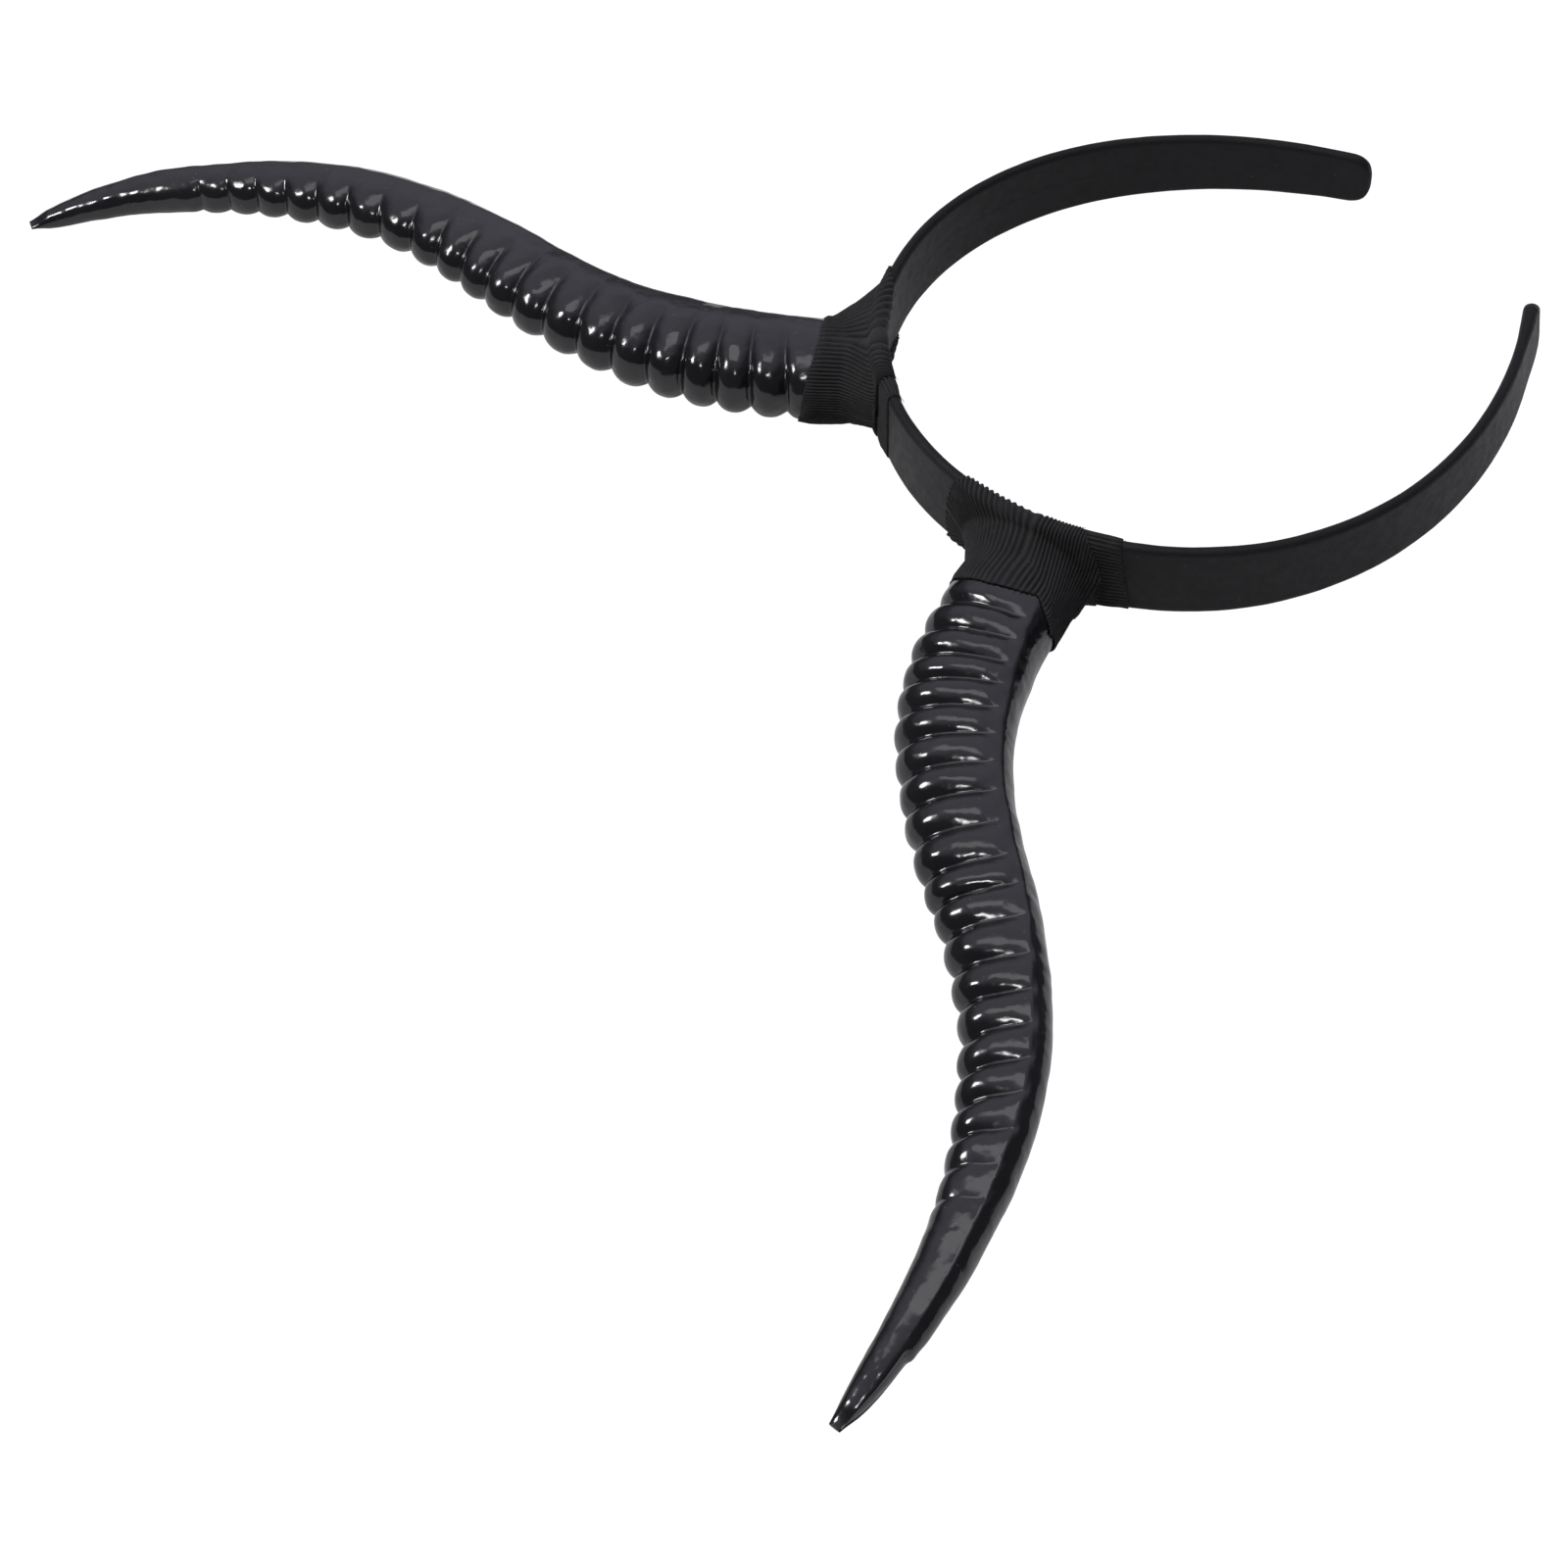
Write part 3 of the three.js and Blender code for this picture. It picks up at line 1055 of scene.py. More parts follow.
@dataclass
class Headband:
    """Satin-covered spring band.

    Bulb is how much thicker its right tip is, and bulb reach the stretch before the tip's end over which
    it thickens. Tip round is the share of the half thickness over which the tips' ends are rounded off.
    """

    line: BandLine = field(default_factory=BandLine)
    left_arm: float = 175.0
    right_arm: float = 183.9
    corner: float = 4.4
    bulb: float = 0.4
    bulb_reach: tuple[float, float] = (16.0, 4.0)
    tip_round: float = 0.999
    rows: int = 260
    tip_rows: int = 14
    columns: int = 96
    form: SkinForm = SkinForm(lump_height=0.00022, lumps_per_metre=140.0, seed=3.0)

    def stations(self) -> np.ndarray:
        """Rings of the band, close together at both tips.

        Returns:
            Their places along the band.
        """
        bow = np.linspace(0.0, math.pi / 2.0, self.tip_rows)
        left = -self.left_arm + self.corner * (1.0 - np.sin(bow))
        right = self.right_arm - self.corner * (1.0 - np.sin(bow))
        middle = np.linspace(left[-1], right[-1], self.rows)[1:-1]
        return np.concatenate((left, middle, right[::-1]))

    def shell(self) -> Shell:
        """Band with rounded tips.

        Returns:
            The band's shell.
        """
        arc = self.stations()[:, None]
        share = np.linspace(-1.0, 1.0, self.columns, endpoint=False)[None, :]
        reach = np.where(arc < 0.0, self.left_arm + arc, self.right_arm - arc)
        inset = np.clip(self.corner - reach, 0.0, self.corner)
        trim = self.corner - np.sqrt(self.corner**2 - inset**2)
        half = self.line.thickness / 2.0
        edge = np.clip(half - reach, 0.0, half * self.tip_round)
        thin = np.sqrt(half**2 - edge**2) - half
        lift = thin + self.bulb * smooth(*self.bulb_reach, reach) * (arc > 0.0)
        round_it = share * (self.line.half_round(arc, lift) - 2.0 * trim)
        points = self.line.around(arc + 0.0 * share, round_it, lift, trim)
        cloth = np.stack((arc + 0.0 * share, round_it, 0.0 * round_it), axis=-1) * MM
        numbers = {
            Attr.CLOTH: cloth,
            Attr.PHASE: round_it * 0.0,
            Attr.DEPTH: round_it * 0.0,
            Attr.LUMP: np.ones_like(round_it),
        }
        return Shell.tube(points, numbers)

    def build(self, kit: Kit) -> bpy.types.Object:
        """Makes the band and dresses it in satin.

        Args:
            kit: What the pieces are made with.

        Returns:
            The band.
        """
        piece = mesh_object("satin_band", self.shell(), kit.lying)
        kit.carve(piece, self.form, BAND_SATIN)
        return kit.keep(piece, "headband")


# The horns


@dataclass(frozen=True)
class Seat:
    """Where a horn sits on the band, and what its own shape adds to the turn of its line."""

    side: Side
    arc: float
    turn: float
    bow: float
    curl: float
    reach: float


SEATS = (
    Seat(Side.LEFT, arc=33.5, turn=-5.8, bow=5.7, curl=-5.3, reach=1.0),
    Seat(Side.RIGHT, arc=35.5, turn=0.3, bow=2.4, curl=5.3, reach=0.99),
)


@dataclass(frozen=True)
class HornRow:
    """One row of a horn's sizes: turn, width, depth, rise, groove depth and angle of the crease."""

    along: float
    turn: float
    width: float
    depth: float
    rise: float
    groove: float
    crease: float


HORN_ROWS = (
    HornRow(0, turn=0, width=23, depth=16.5, rise=0, groove=1.1, crease=120),
    HornRow(16, turn=3, width=24, depth=17, rise=1, groove=1.8, crease=126),
    HornRow(40, turn=16, width=24, depth=16.5, rise=2.4, groove=2.1, crease=138),
    HornRow(65, turn=31, width=21.8, depth=14.2, rise=3.4, groove=2.1, crease=138),
    HornRow(90, turn=39, width=20.4, depth=12.4, rise=4, groove=2.1, crease=135),
    HornRow(115, turn=30, width=17.8, depth=11.8, rise=4, groove=2.0, crease=119),
    HornRow(140, turn=15, width=15.4, depth=10.8, rise=3.2, groove=1.6, crease=117),
    HornRow(162, turn=5, width=11.4, depth=9.4, rise=2, groove=1.1, crease=115),
    HornRow(185, turn=-5, width=8.3, depth=7, rise=0.8, groove=0.3, crease=115),
    HornRow(200, turn=-11, width=5.4, depth=4.6, rise=-1.2, groove=0, crease=115),
    HornRow(207, turn=-14, width=2.8, depth=2.2, rise=-2, groove=0, crease=115),
)


@dataclass
class HornLine:
    """Centre line of a horn on its seat, for the right side.

    Drop is how far the line lies under the band's middle at the seat, and root where it starts.
    """

    seat: Seat
    band: BandLine
    drop: float = 5.0
    root: float = -14.0
    step: float = 0.25

    def __post_init__(self) -> None:
        """Follows the line in small steps."""
        self.length = HORN_ROWS[-1].along
        self.rows = np.array([row.along for row in HORN_ROWS], dtype=float)
        self.steps = np.arange(self.root, self.length + self.step, self.step)
        share = np.clip(self.steps / self.length, 0.0, 1.0)
        seat = self.seat
        own = seat.turn + seat.bow * np.sin(math.pi * share) + seat.curl * share**3
        base = self.band.at(np.array(seat.arc))
        self.headings = base.heading - math.pi / 2.0 + np.radians(self.size("turn", self.steps) + own)
        self.centres = np.empty((len(self.steps), 2))
        for axis, way in enumerate((np.cos(self.headings), np.sin(self.headings))):
            middle = (way[1:] + way[:-1]) / 2.0
            run = np.concatenate(((0.0,), np.cumsum(middle * self.step * seat.reach)))
            self.centres[:, axis] = base.point[axis] + run - np.interp(0.0, self.steps, run)

    def size(self, column: str, along: np.ndarray) -> np.ndarray:
        """Size from the horn's table."""
        values = np.array([getattr(row, column) for row in HORN_ROWS], dtype=float)
        return table_curve(self.rows, values, along)

    def beside(self, along: np.ndarray, inward: np.ndarray, up: np.ndarray) -> np.ndarray:
        """Points beside the line.

        Args:
            along: Distances along the line.
            inward: Distances to the ridged inner side.
            up: Heights.

        Returns:
            The points.
        """
        heading = np.interp(along, self.steps, self.headings)
        x = np.interp(along, self.steps, self.centres[:, 0]) + np.sin(heading) * inward
        y = np.interp(along, self.steps, self.centres[:, 1]) - np.cos(heading) * inward
        return np.stack((x, y, self.size("rise", along) - self.drop + up), axis=-1)


@dataclass(frozen=True)
class Ridges:
    """Ridges of one horn.

    Crests are their places along the horn at its inner side, slants how grooves lean towards the tip on
    their way over the top, in degrees, and ends the angles round the horn at which they run out. A large
    hold keeps grooves deep until near their ends. Tail is the share of a groove's depth that goes on
    faintly past its end, and tip the share that is left of the last grooves.
    """

    crests: tuple[float, ...]
    slants: tuple[tuple[float, float], ...]
    ends: tuple[tuple[float, float], ...]
    hold: float
    tail: float
    tip: float


LEFT_RIDGES = Ridges(
    crests=(
        8.2, 15.4, 22.6, 29.6, 36.2, 43.2, 50.8, 58.6, 66.8, 75.4, 83.5,
        91.4, 99.4, 107.5, 116.7, 126.2, 134.6, 142.9, 150.5, 157.5, 164.1, 170.8,
    ),
    slants=((0, 5), (40, 2), (65, 8), (90, 8), (115, 12), (140, 9), (165, 4)),
    ends=((0, 106), (60, 112), (85, 106), (105, 92), (165, 74)),
    hold=2.4,
    tail=0.2,
    tip=1.0,
)

RIGHT_RIDGES = Ridges(
    crests=(
        10.0, 17.3, 24.6, 32.0, 38.8, 45.2, 52.3, 59.5, 67.0, 74.3, 82.7, 90.4,
        96.9, 105.5, 114.0, 122.1, 130.7, 138.0, 145.2, 152.2, 159.0, 165.5,
    ),
    slants=((0, 4), (16, 2), (40, -2), (65, 0), (90, 2), (115, -1), (130, -13), (140, -17), (165, -15)),
    ends=((0, 122), (45, 134), (90, 130), (165, 126)),
    hold=3.2,
    tail=0.05,
    tip=0.45,
)


@dataclass
class Horn:
    """Ridged horn of glossy plastic.

    Pairs are stretches along the horn, in which the crease, the grooves' slant or the lumps set in or run
    out, and seam round is one of angles round it. Smooth tip is the share of the lumps that the tip is
    without.
    """

    line: HornLine
    ridges: Ridges
    start: float = 2.6
    rows_per_ridge: int = 20
    foot_rows: int = 8
    tip_rows: int = 90
    columns: int = 112
    crease_top: float = 9.0
    crease_back: float = 20.0
    crease_height: float = 0.55
    crease_from: tuple[float, float] = (4.0, 20.0)
    crease_to: tuple[float, float] = (176.0, 192.0)
    slant_from: tuple[float, float] = (8.0, 16.0)
    slant_to: tuple[float, float] = (163.0, 180.0)
    fade: float = 0.9
    tail_end: float = 150.0
    first_groove: tuple[float, float] = (14.0, 20.5)
    last_grooves: tuple[float, float] = (150.0, 158.0)
    lumps_from: tuple[float, float] = (10.0, 30.0)
    lumps_to: tuple[float, float] = (190.0, 205.0)
    smooth_tip: float = 0.6
    squareness: float = 0.88
    tab: float = 202.5
    tab_height: float = 0.42
    tip_crowding: float = 1.5
    seam: float = 189.5
    seam_step: float = 0.7
    seam_width: float = 1.4
    seam_round: tuple[float, float] = (128.0, 150.0)
    form: SkinForm = SkinForm(lump_height=0.0009, lumps_per_metre=110.0, seed=5.0, narrowness=2.3)

    def stations(self) -> tuple[np.ndarray, np.ndarray]:
        """Rows of the skin.

        Returns:
            Their places along the horn, and their ridge phase: whole on a crest.
        """
        count = len(self.ridges.crests)
        phase = np.linspace(0.0, count - 1.0, (count - 1) * self.rows_per_ridge + 1)
        along = table_curve(np.arange(count, dtype=float), np.array(self.ridges.crests), phase)
        foot = np.linspace(self.start, along[0], self.foot_rows, endpoint=False)
        share = np.linspace(0.0, 1.0, self.tip_rows + 1)[1:]
        tip = along[-1] + (self.line.length - along[-1]) * (1.0 - (1.0 - share) ** self.tip_crowding)
        places = np.concatenate((foot, along, tip))
        phases = np.concatenate((foot * 0.0, phase, tip * 0.0))
        return places, phases

    def section(
        self, along: np.ndarray, angle: np.ndarray, grow: float = 0.0
    ) -> tuple[np.ndarray, np.ndarray]:
        """Outline of the smooth skin.

        Args:
            along: Distances along the horn.
            angle: Angles round it, from the inner side over the top.
            grow: Height over the skin.

        Returns:
            Distances to the inner side and heights.
        """
        across = self.line.size("width", along) / 2.0 + grow
        upright = self.line.size("depth", along) / 2.0 + grow
        turned = np.degrees(np.abs(angle))
        past = turned - self.line.size("crease", along)
        spread = np.where(past < 0.0, self.crease_top, self.crease_back)
        keen = smooth(*self.crease_from, along) * (1.0 - smooth(*self.crease_to, along))
        swell = keen * self.crease_height * np.exp(-np.abs(past) / spread)
        stepped = smooth(self.seam, self.seam + self.seam_width, along)
        step = self.seam_step * stepped * smooth(*self.seam_round, turned)
        flat = 1.0 - (1.0 - self.tab_height) * smooth(self.tab, self.line.length, along)
        inward = (across + swell - step) * signed_power(np.cos(angle), self.squareness)
        up = (upright * flat + swell) * signed_power(np.sin(angle), self.squareness)
        return inward, up

    def shell(self) -> Shell:
        """Smooth skin of the horn.

        Returns:
            The skin's shell, with the phase and depth of its grooves.
        """
        places, phases = self.stations()
        angle = np.linspace(-math.pi, math.pi, self.columns, endpoint=False)[None, :]
        row = places[:, None]
        width = self.line.size("width", row) / 2.0
        end = np.interp(row, *np.array(self.ridges.ends, dtype=float).T)
        slant = np.interp(row, *np.array(self.ridges.slants, dtype=float).T)
        across = width * (1.0 - np.cos(np.minimum(np.abs(angle), np.radians(end))))
        slanted = smooth(*self.slant_from, row) * (1.0 - smooth(*self.slant_to, row))
        along = row + np.tan(np.radians(slant)) * across * slanted
        inward, up = self.section(along, angle)
        points = self.line.beside(along, inward, up)
        turned = np.degrees(np.abs(angle))
        main = np.clip(1.0 - (turned / end) ** self.ridges.hold, 0.0, 1.0) ** self.fade
        faint = np.clip(1.0 - (turned / self.tail_end) ** 2, 0.0, 1.0)
        share = main + (faint - main) * self.ridges.tail
        ridged = (phases[:, None] > 0.0) * 1.0
        clear = smooth(*self.first_groove, row)
        clear = clear * (1.0 + (self.ridges.tip - 1.0) * smooth(*self.last_grooves, row))
        depth = self.line.size("groove", row) * share * ridged * clear * MM
        lumps = smooth(*self.lumps_from, row) * (1.0 - self.smooth_tip * smooth(*self.lumps_to, row))
        numbers = {
            Attr.PHASE: phases[:, None] + 0.0 * angle,
            Attr.DEPTH: depth,
            Attr.LUMP: lumps + 0.0 * angle,
        }
        return Shell.tube(points, numbers)

    def build(self, kit: Kit) -> bpy.types.Object:
        """Makes the horn and dresses it in glossy plastic.

        Args:
            kit: What the pieces are made with.

        Returns:
            The horn.
        """
        side = self.line.seat.side
        piece = mesh_object(f"ridged_horn_{side.label}", self.shell(), kit.lying, side)
        kit.carve(piece, self.form, HORN_PLASTIC, side.value)
        return kit.keep(piece, f"horn_{side.label}")


# The wraps


@dataclass(frozen=True)
class Strip:
    """Turns of ribbon round the band beside a horn.

    Start and end are their edges along the band, and the skews how far those run aslant. Lift is the
    height of their outer face, and fan how many ribs the rib lines drift by over a millimetre.
    """

    start: float
    end: float
    lift: float
    skew_start: float
    skew_end: float
    fan: float


@dataclass(frozen=True)
class WrapSide:
    """How a wrap runs from the horn onto the band on one side.

    Leave is where it leaves the horn's skin, flare how far it meets the band beyond the horn, reach
    how far from the seat it ends on the band, and sweep how rounded the way between is. A small hug
    keeps it at the band's edges. Lift is its height over the band where it meets it, and end lift where
    it ends. Recede is how much shorter its reach is at the band's top, around the share of the band's
    far face that it goes on to cover, and cling how long it stays on the near face.
    """

    leave: float
    flare: float
    reach: float
    sweep: float
    hug: float
    lift: float
    end_lift: float
    recede: float
    around: float
    cling: float


@dataclass(frozen=True)
class WrapSizes:
    """Sizes of one wrap.

    Edge is the sleeve's reach along the horn at angles round it, and twist how far the ribbon drifts
    towards the crown on its way over the band. A small spread keeps its lines apart over the horn's top.
    """

    edge: tuple[tuple[float, float], ...]
    inner: WrapSide
    outer: WrapSide
    leave_top: float
    sweep_top: float
    twist: float
    spread: float
    strips: tuple[Strip, ...]
    flat: tuple[float, float]


LEFT_WRAP = WrapSizes(
    edge=((-180, 11), (-90, 14), (-35, 17), (0, 16.4), (48, 14.9), (87, 13.1), (116, 12), (150, 11.2)),
    inner=WrapSide(
        leave=9.5, flare=4.2, reach=16.6, sweep=0.5, hug=0.8,
        lift=1.4, end_lift=0.98, recede=0.0, around=1.0, cling=1.0,
    ),
    outer=WrapSide(
        leave=11.0, flare=10.6, reach=23.2, sweep=0.2, hug=0.28,
        lift=0.78, end_lift=0.65, recede=0.0, around=0.58, cling=0.75,
    ),
    leave_top=7.0,
    sweep_top=0.45,
    twist=4.6,
    spread=0.58,
    strips=(Strip(start=10.8, end=24, lift=0.68, skew_start=-0.2, skew_end=0.5, fan=0.10),),
    flat=(0.025, 0.14),
)

RIGHT_WRAP = WrapSizes(
    edge=(
        (-180, 18), (-120, 15), (-60, 14), (0, 14.4), (20, 14.6), (45, 15.6),
        (80, 16.4), (106, 15.5), (121, 14.5), (142, 17.2), (165, 19.3),
    ),
    inner=WrapSide(
        leave=8.0, flare=5.0, reach=22.0, sweep=0.5, hug=0.8,
        lift=0.85, end_lift=0.65, recede=0.14, around=1.0, cling=0.8,
    ),
    outer=WrapSide(
        leave=16.5, flare=1.2, reach=14.4, sweep=0.4, hug=0.8,
        lift=1.4, end_lift=0.98, recede=0.4, around=1.0, cling=0.8,
    ),
    leave_top=6.6,
    sweep_top=0.45,
    twist=0.0,
    spread=0.75,
    strips=(Strip(start=37, end=54.2, lift=0.68, skew_start=0.0, skew_end=-1.2, fan=0.0),),
    flat=(0.025, 0.14),
)


@dataclass
class RibbonWrap:
    """Ribbed ribbon wound round a horn's foot and the band.

    The ribbon meets the band's near face within its top edge by the top inset, past its bottom edge by
    the bottom outset and, at the horn's sides, over the horn's middle by the side rise. Far gap is what
    keeps its lines apart on the far face, recede bow the power by which they recede towards the top, and
    taper share the share of the sleeve that thins towards the cut edge. Least sleeve is the shortest way
    along the horn, and first part the share of the way along the band that sets a bend's direction.
    """

    horn: Horn
    sizes: WrapSizes
    gap: float = 0.12
    thick: float = 0.6
    edge_thick: float = 0.28
    lift_top: float = 1.2
    end_lift_top: float = 0.6
    around_top: float = 0.75
    top_inset: float = 1.2
    bottom_outset: float = 1.4
    side_rise: float = 1.5
    far_gap: float = 0.4
    recede_bow: float = 0.75
    taper_share: float = 0.3
    least_sleeve: float = 0.6
    first_part: float = 0.1
    gather: float = 0.22
    ribs: int = 80
    strip_ribs: int = 44
    columns_per_rib: int = 8
    rib_pitch: float = 0.8
    rib_depth: float = 0.5
    least_depth: float = 0.1
    sleeve_rows: int = 14
    bend_rows: int = 18
    band_rows: int = 24
    strip_rows: int = 12
    form: SkinForm = SkinForm(lump_height=0.0011, lumps_per_metre=130.0, seed=9.0, narrowness=1.5)

    def sleeve_point(self, angle: np.ndarray, along: np.ndarray, thick: np.ndarray | float) -> np.ndarray:
        """Points of the sleeve's outer face round the horn, for a thickness of ribbon."""
        inward, up = self.horn.section(along, angle, self.gap + thick)
        return self.horn.line.beside(along, inward, up)

    def edge_taper(self, share: np.ndarray) -> np.ndarray:
        """Thickness of the ribbon by the share of the sleeve's way from its cut edge."""
        return self.edge_thick + (self.thick - self.edge_thick) * smooth(0.0, self.taper_share, share)

    def by_side(self, angle: np.ndarray, name: str) -> np.ndarray:
        """A size of the inner or outer side.

        Args:
            angle: Angles round the horn.
            name: Name of the size.

        Returns:
            The size at each angle.
        """
        inner = getattr(self.sizes.inner, name)
        outer = getattr(self.sizes.outer, name)
        return np.where(np.cos(angle) > 0.0, inner, outer)

    def from_top(self, angle: np.ndarray, name: str, top: float) -> np.ndarray:
        """A size that changes from its value at the horn's top to that of a side."""
        return top + (self.by_side(angle, name) - top) * np.abs(np.cos(angle))

    def band_place(self, angle: np.ndarray) -> tuple[np.ndarray, ...]:
        """Where a line of the ribbon meets the band and where it ends on it.

        Args:
            angle: Angles round the horn.

        Returns:
            Place along the band and round it where the line meets the band, then where it ends.
        """
        line = self.horn.line
        cos = np.cos(angle)
        sin = np.sin(angle)
        half = line.size("width", np.zeros_like(angle)) / 2.0 + self.gap + self.thick
        over = self.sizes.twist * np.maximum(sin, 0.0)
        hold = 1.0 - self.by_side(angle, "recede") * np.maximum(sin, 0.0) ** self.recede_bow
        flare = half + self.by_side(angle, "flare") * np.abs(cos)
        aside = signed_power(cos, self.sizes.spread)
        meet = line.seat.arc - flare * hold * aside - over
        edge = line.band.width(meet) / 2.0
        top = np.where(sin > 0.0, edge - self.top_inset, edge + self.bottom_outset)
        side_height = self.side_rise - line.drop
        share = np.abs(sin) ** self.by_side(angle, "hug")
        meet_round = side_height * (1.0 - share) + np.sign(sin) * share * top
        end = line.seat.arc - self.by_side(angle, "reach") * hold * aside - over
        around = line.band.half_round(end, self.end_lift_top) - self.far_gap
        around = around * self.from_top(angle, "around", self.around_top)
        end_round = around * signed_power(sin, self.by_side(angle, "cling"))
        return meet, meet_round, end, end_round

    def paths(self, angle: np.ndarray) -> np.ndarray:
        """Lines of the ribbon from the sleeve's edge on the horn to their ends on the band.

        Args:
            angle: Angles round the horn, one for each line.

        Returns:
            Grid of points: a row for each place along the lines, a column for each line.
        """
        sizes = self.sizes
        band = self.horn.line.band
        degrees, reach = np.array(sizes.edge, dtype=float).T
        edge = np.interp(np.degrees(angle), degrees, reach, period=360.0)
        leave = np.minimum(self.from_top(angle, "leave", sizes.leave_top), edge - self.least_sleeve)
        sweep = self.from_top(angle, "sweep", sizes.sweep_top)
        share = np.linspace(0.0, 1.0, self.sleeve_rows, endpoint=False)[:, None]
        along = edge + (leave - edge) * share
        sleeve = self.sleeve_point(angle + 0.0 * share, along, self.edge_taper(share))
        start = self.sleeve_point(angle, leave, self.thick)
        meet, meet_round, end, end_round = self.band_place(angle)
        lift = self.from_top(angle, "lift", self.lift_top)
        end_lift = self.from_top(angle, "end_lift", self.end_lift_top)
        touch = band.around(meet, meet_round, lift)
        onward = meet_round + (end_round - meet_round) * self.first_part
        beyond = band.around(meet + (end - meet) * self.first_part, onward, lift)
        pull = np.linalg.norm(touch - start, axis=-1) * sweep
        ahead = start - self.sleeve_point(angle, leave + 1.0, self.thick)
        ahead = ahead / np.linalg.norm(ahead, axis=-1, keepdims=True) * pull[:, None]
        away = beyond - touch
        away = away / np.linalg.norm(away, axis=-1, keepdims=True) * pull[:, None]
        t = np.linspace(0.0, 1.0, self.bend_rows, endpoint=False)[:, None, None]
        bend = (
            (2.0 * t**3 - 3.0 * t**2 + 1.0) * start
            + (t**3 - 2.0 * t**2 + t) * ahead
            + (3.0 * t**2 - 2.0 * t**3) * touch
            + (t**3 - t**2) * away
        )
        share = np.linspace(0.0, 1.0, self.band_rows)[:, None]
        arc = meet + (end - meet) * share
        height = lift + (end_lift - lift) * share
        flat = band.around(arc, meet_round + (end_round - meet_round) * share, height)
        return np.concatenate((sleeve, bend, flat))

    def wall(self, points: np.ndarray, phase: np.ndarray, out: np.ndarray, thick: np.ndarray) -> Shell:
        """Closed ribbed wall of ribbon, with shallow ribs where they crowd together or it is thin.

        Args:
            points: Grid of points of its outer face, whose rows close on themselves.
            phase: Rib phase of each point, whole on a crest.
            out: A direction out of the wall for each point.
            thick: Thickness of each row.

        Returns:
            The wall's shell.
        """
        steps = np.linalg.norm(np.diff(points, axis=0), axis=-1)
        run = np.concatenate((np.zeros((1, points.shape[1])), np.cumsum(steps, axis=0)))
        pitch = np.linalg.norm(np.roll(points, -1, axis=1) - points, axis=-1) * self.columns_per_rib
        crowd = np.clip(pitch / self.rib_pitch, self.least_depth, 1.0)
        numbers = {
            Attr.PHASE: phase,
            Attr.DEPTH: self.rib_depth * crowd * (thick / self.thick)[:, None] * MM,
            Attr.LUMP: np.ones_like(run),
            Attr.CLOTH: np.stack((phase, run, 0.0 * run), axis=-1) * MM,
        }
        turned = np.sign(np.sum(grid_normals(points) * out))
        return Shell.wall(points, thick[:, None, None] * turned, numbers).outward()

    def sleeve_grid(self) -> tuple[np.ndarray, np.ndarray]:
        """Ribbon round the horn's foot, running out onto the band, gathered at the horn's sides.

        Returns:
            Grid of points of its outer face, and their rib phases.
        """
        columns = self.ribs * self.columns_per_rib
        turn = np.linspace(-math.pi, math.pi, columns, endpoint=False)
        points = self.paths(turn - self.gather * np.sin(2.0 * turn) / 2.0)
        phase = np.linspace(0.0, self.ribs, columns, endpoint=False) + np.zeros((len(points), 1))
        return points, phase

    def sleeve(self) -> Shell:
        """Wall of the ribbon round the horn's foot.

        Returns:
            The wall's shell.
        """
        points, phase = self.sleeve_grid()
        out = np.zeros_like(points)
        ring = points[: self.sleeve_rows]
        out[: self.sleeve_rows] = ring - ring.mean(axis=1, keepdims=True)
        return self.wall(points, phase, out, self.edge_taper(np.arange(len(points)) / self.sleeve_rows))

    def strip_thick(self) -> np.ndarray:
        """Thickness of each row of the turns round the band, thin at both cut edges."""
        row = np.linspace(0.0, 1.0, self.strip_rows)
        return self.edge_taper(np.minimum(row, 1.0 - row))

    def strip_grid(self, strip: Strip) -> tuple[np.ndarray, np.ndarray]:
        """Turns of ribbon round the band.

        Args:
            strip: Sizes of the turns.

        Returns:
            Grid of points of their outer face, and their rib phases.
        """
        band = self.horn.line.band
        columns = self.strip_ribs * self.columns_per_rib
        share = np.linspace(-1.0, 1.0, columns, endpoint=False)[None, :]
        row = np.linspace(0.0, 1.0, self.strip_rows)[:, None]
        swing = np.sin(math.pi * share)
        start = strip.start + strip.skew_start * swing
        end = strip.end + strip.skew_end * swing
        arc = start + (end - start) * row
        lift = strip.lift - self.thick + self.strip_thick()[:, None]
        points = band.around(arc, share * band.half_round(arc, lift), lift)
        phase = (share + 1.0) / 2.0 * self.strip_ribs + strip.fan * (arc - strip.start)
        return points, phase

    def strip(self, strip: Strip) -> Shell:
        """Wall of the turns of ribbon round the band.

        Args:
            strip: Sizes of the turns.

        Returns:
            The wall's shell.
        """
        points, phase = self.strip_grid(strip)
        out = points - points.mean(axis=1, keepdims=True)
        return self.wall(points, phase, out, self.strip_thick())

    def cut_edges(self) -> list[tuple[np.ndarray, np.ndarray]]:
        """Cut edges of the ribbon.

        Returns:
            Points of each edge, and the points of the row behind them.
        """
        grids = [self.sleeve_grid()[0]] + [self.strip_grid(strip)[0] for strip in self.sizes.strips]
        starts = [(grid[0], grid[1]) for grid in grids]
        return starts + [(grid[-1], grid[-2]) for grid in grids]

    def build(self, kit: Kit) -> bpy.types.Object:
        """Makes the wrap and dresses it in ribbon.

        Args:
            kit: What the pieces are made with.

        Returns:
            The wrap.
        """
        side = self.horn.line.seat.side
        walls = [self.sleeve()] + [self.strip(strip) for strip in self.sizes.strips]
        piece = mesh_object(f"ribbon_wrap_{side.label}", Shell.joined(walls), kit.lying, side)
        kit.carve(piece, self.form, WRAP_RIBBON, side.value)
        kit.keep(piece, f"wrap_{side.label}")
        return piece


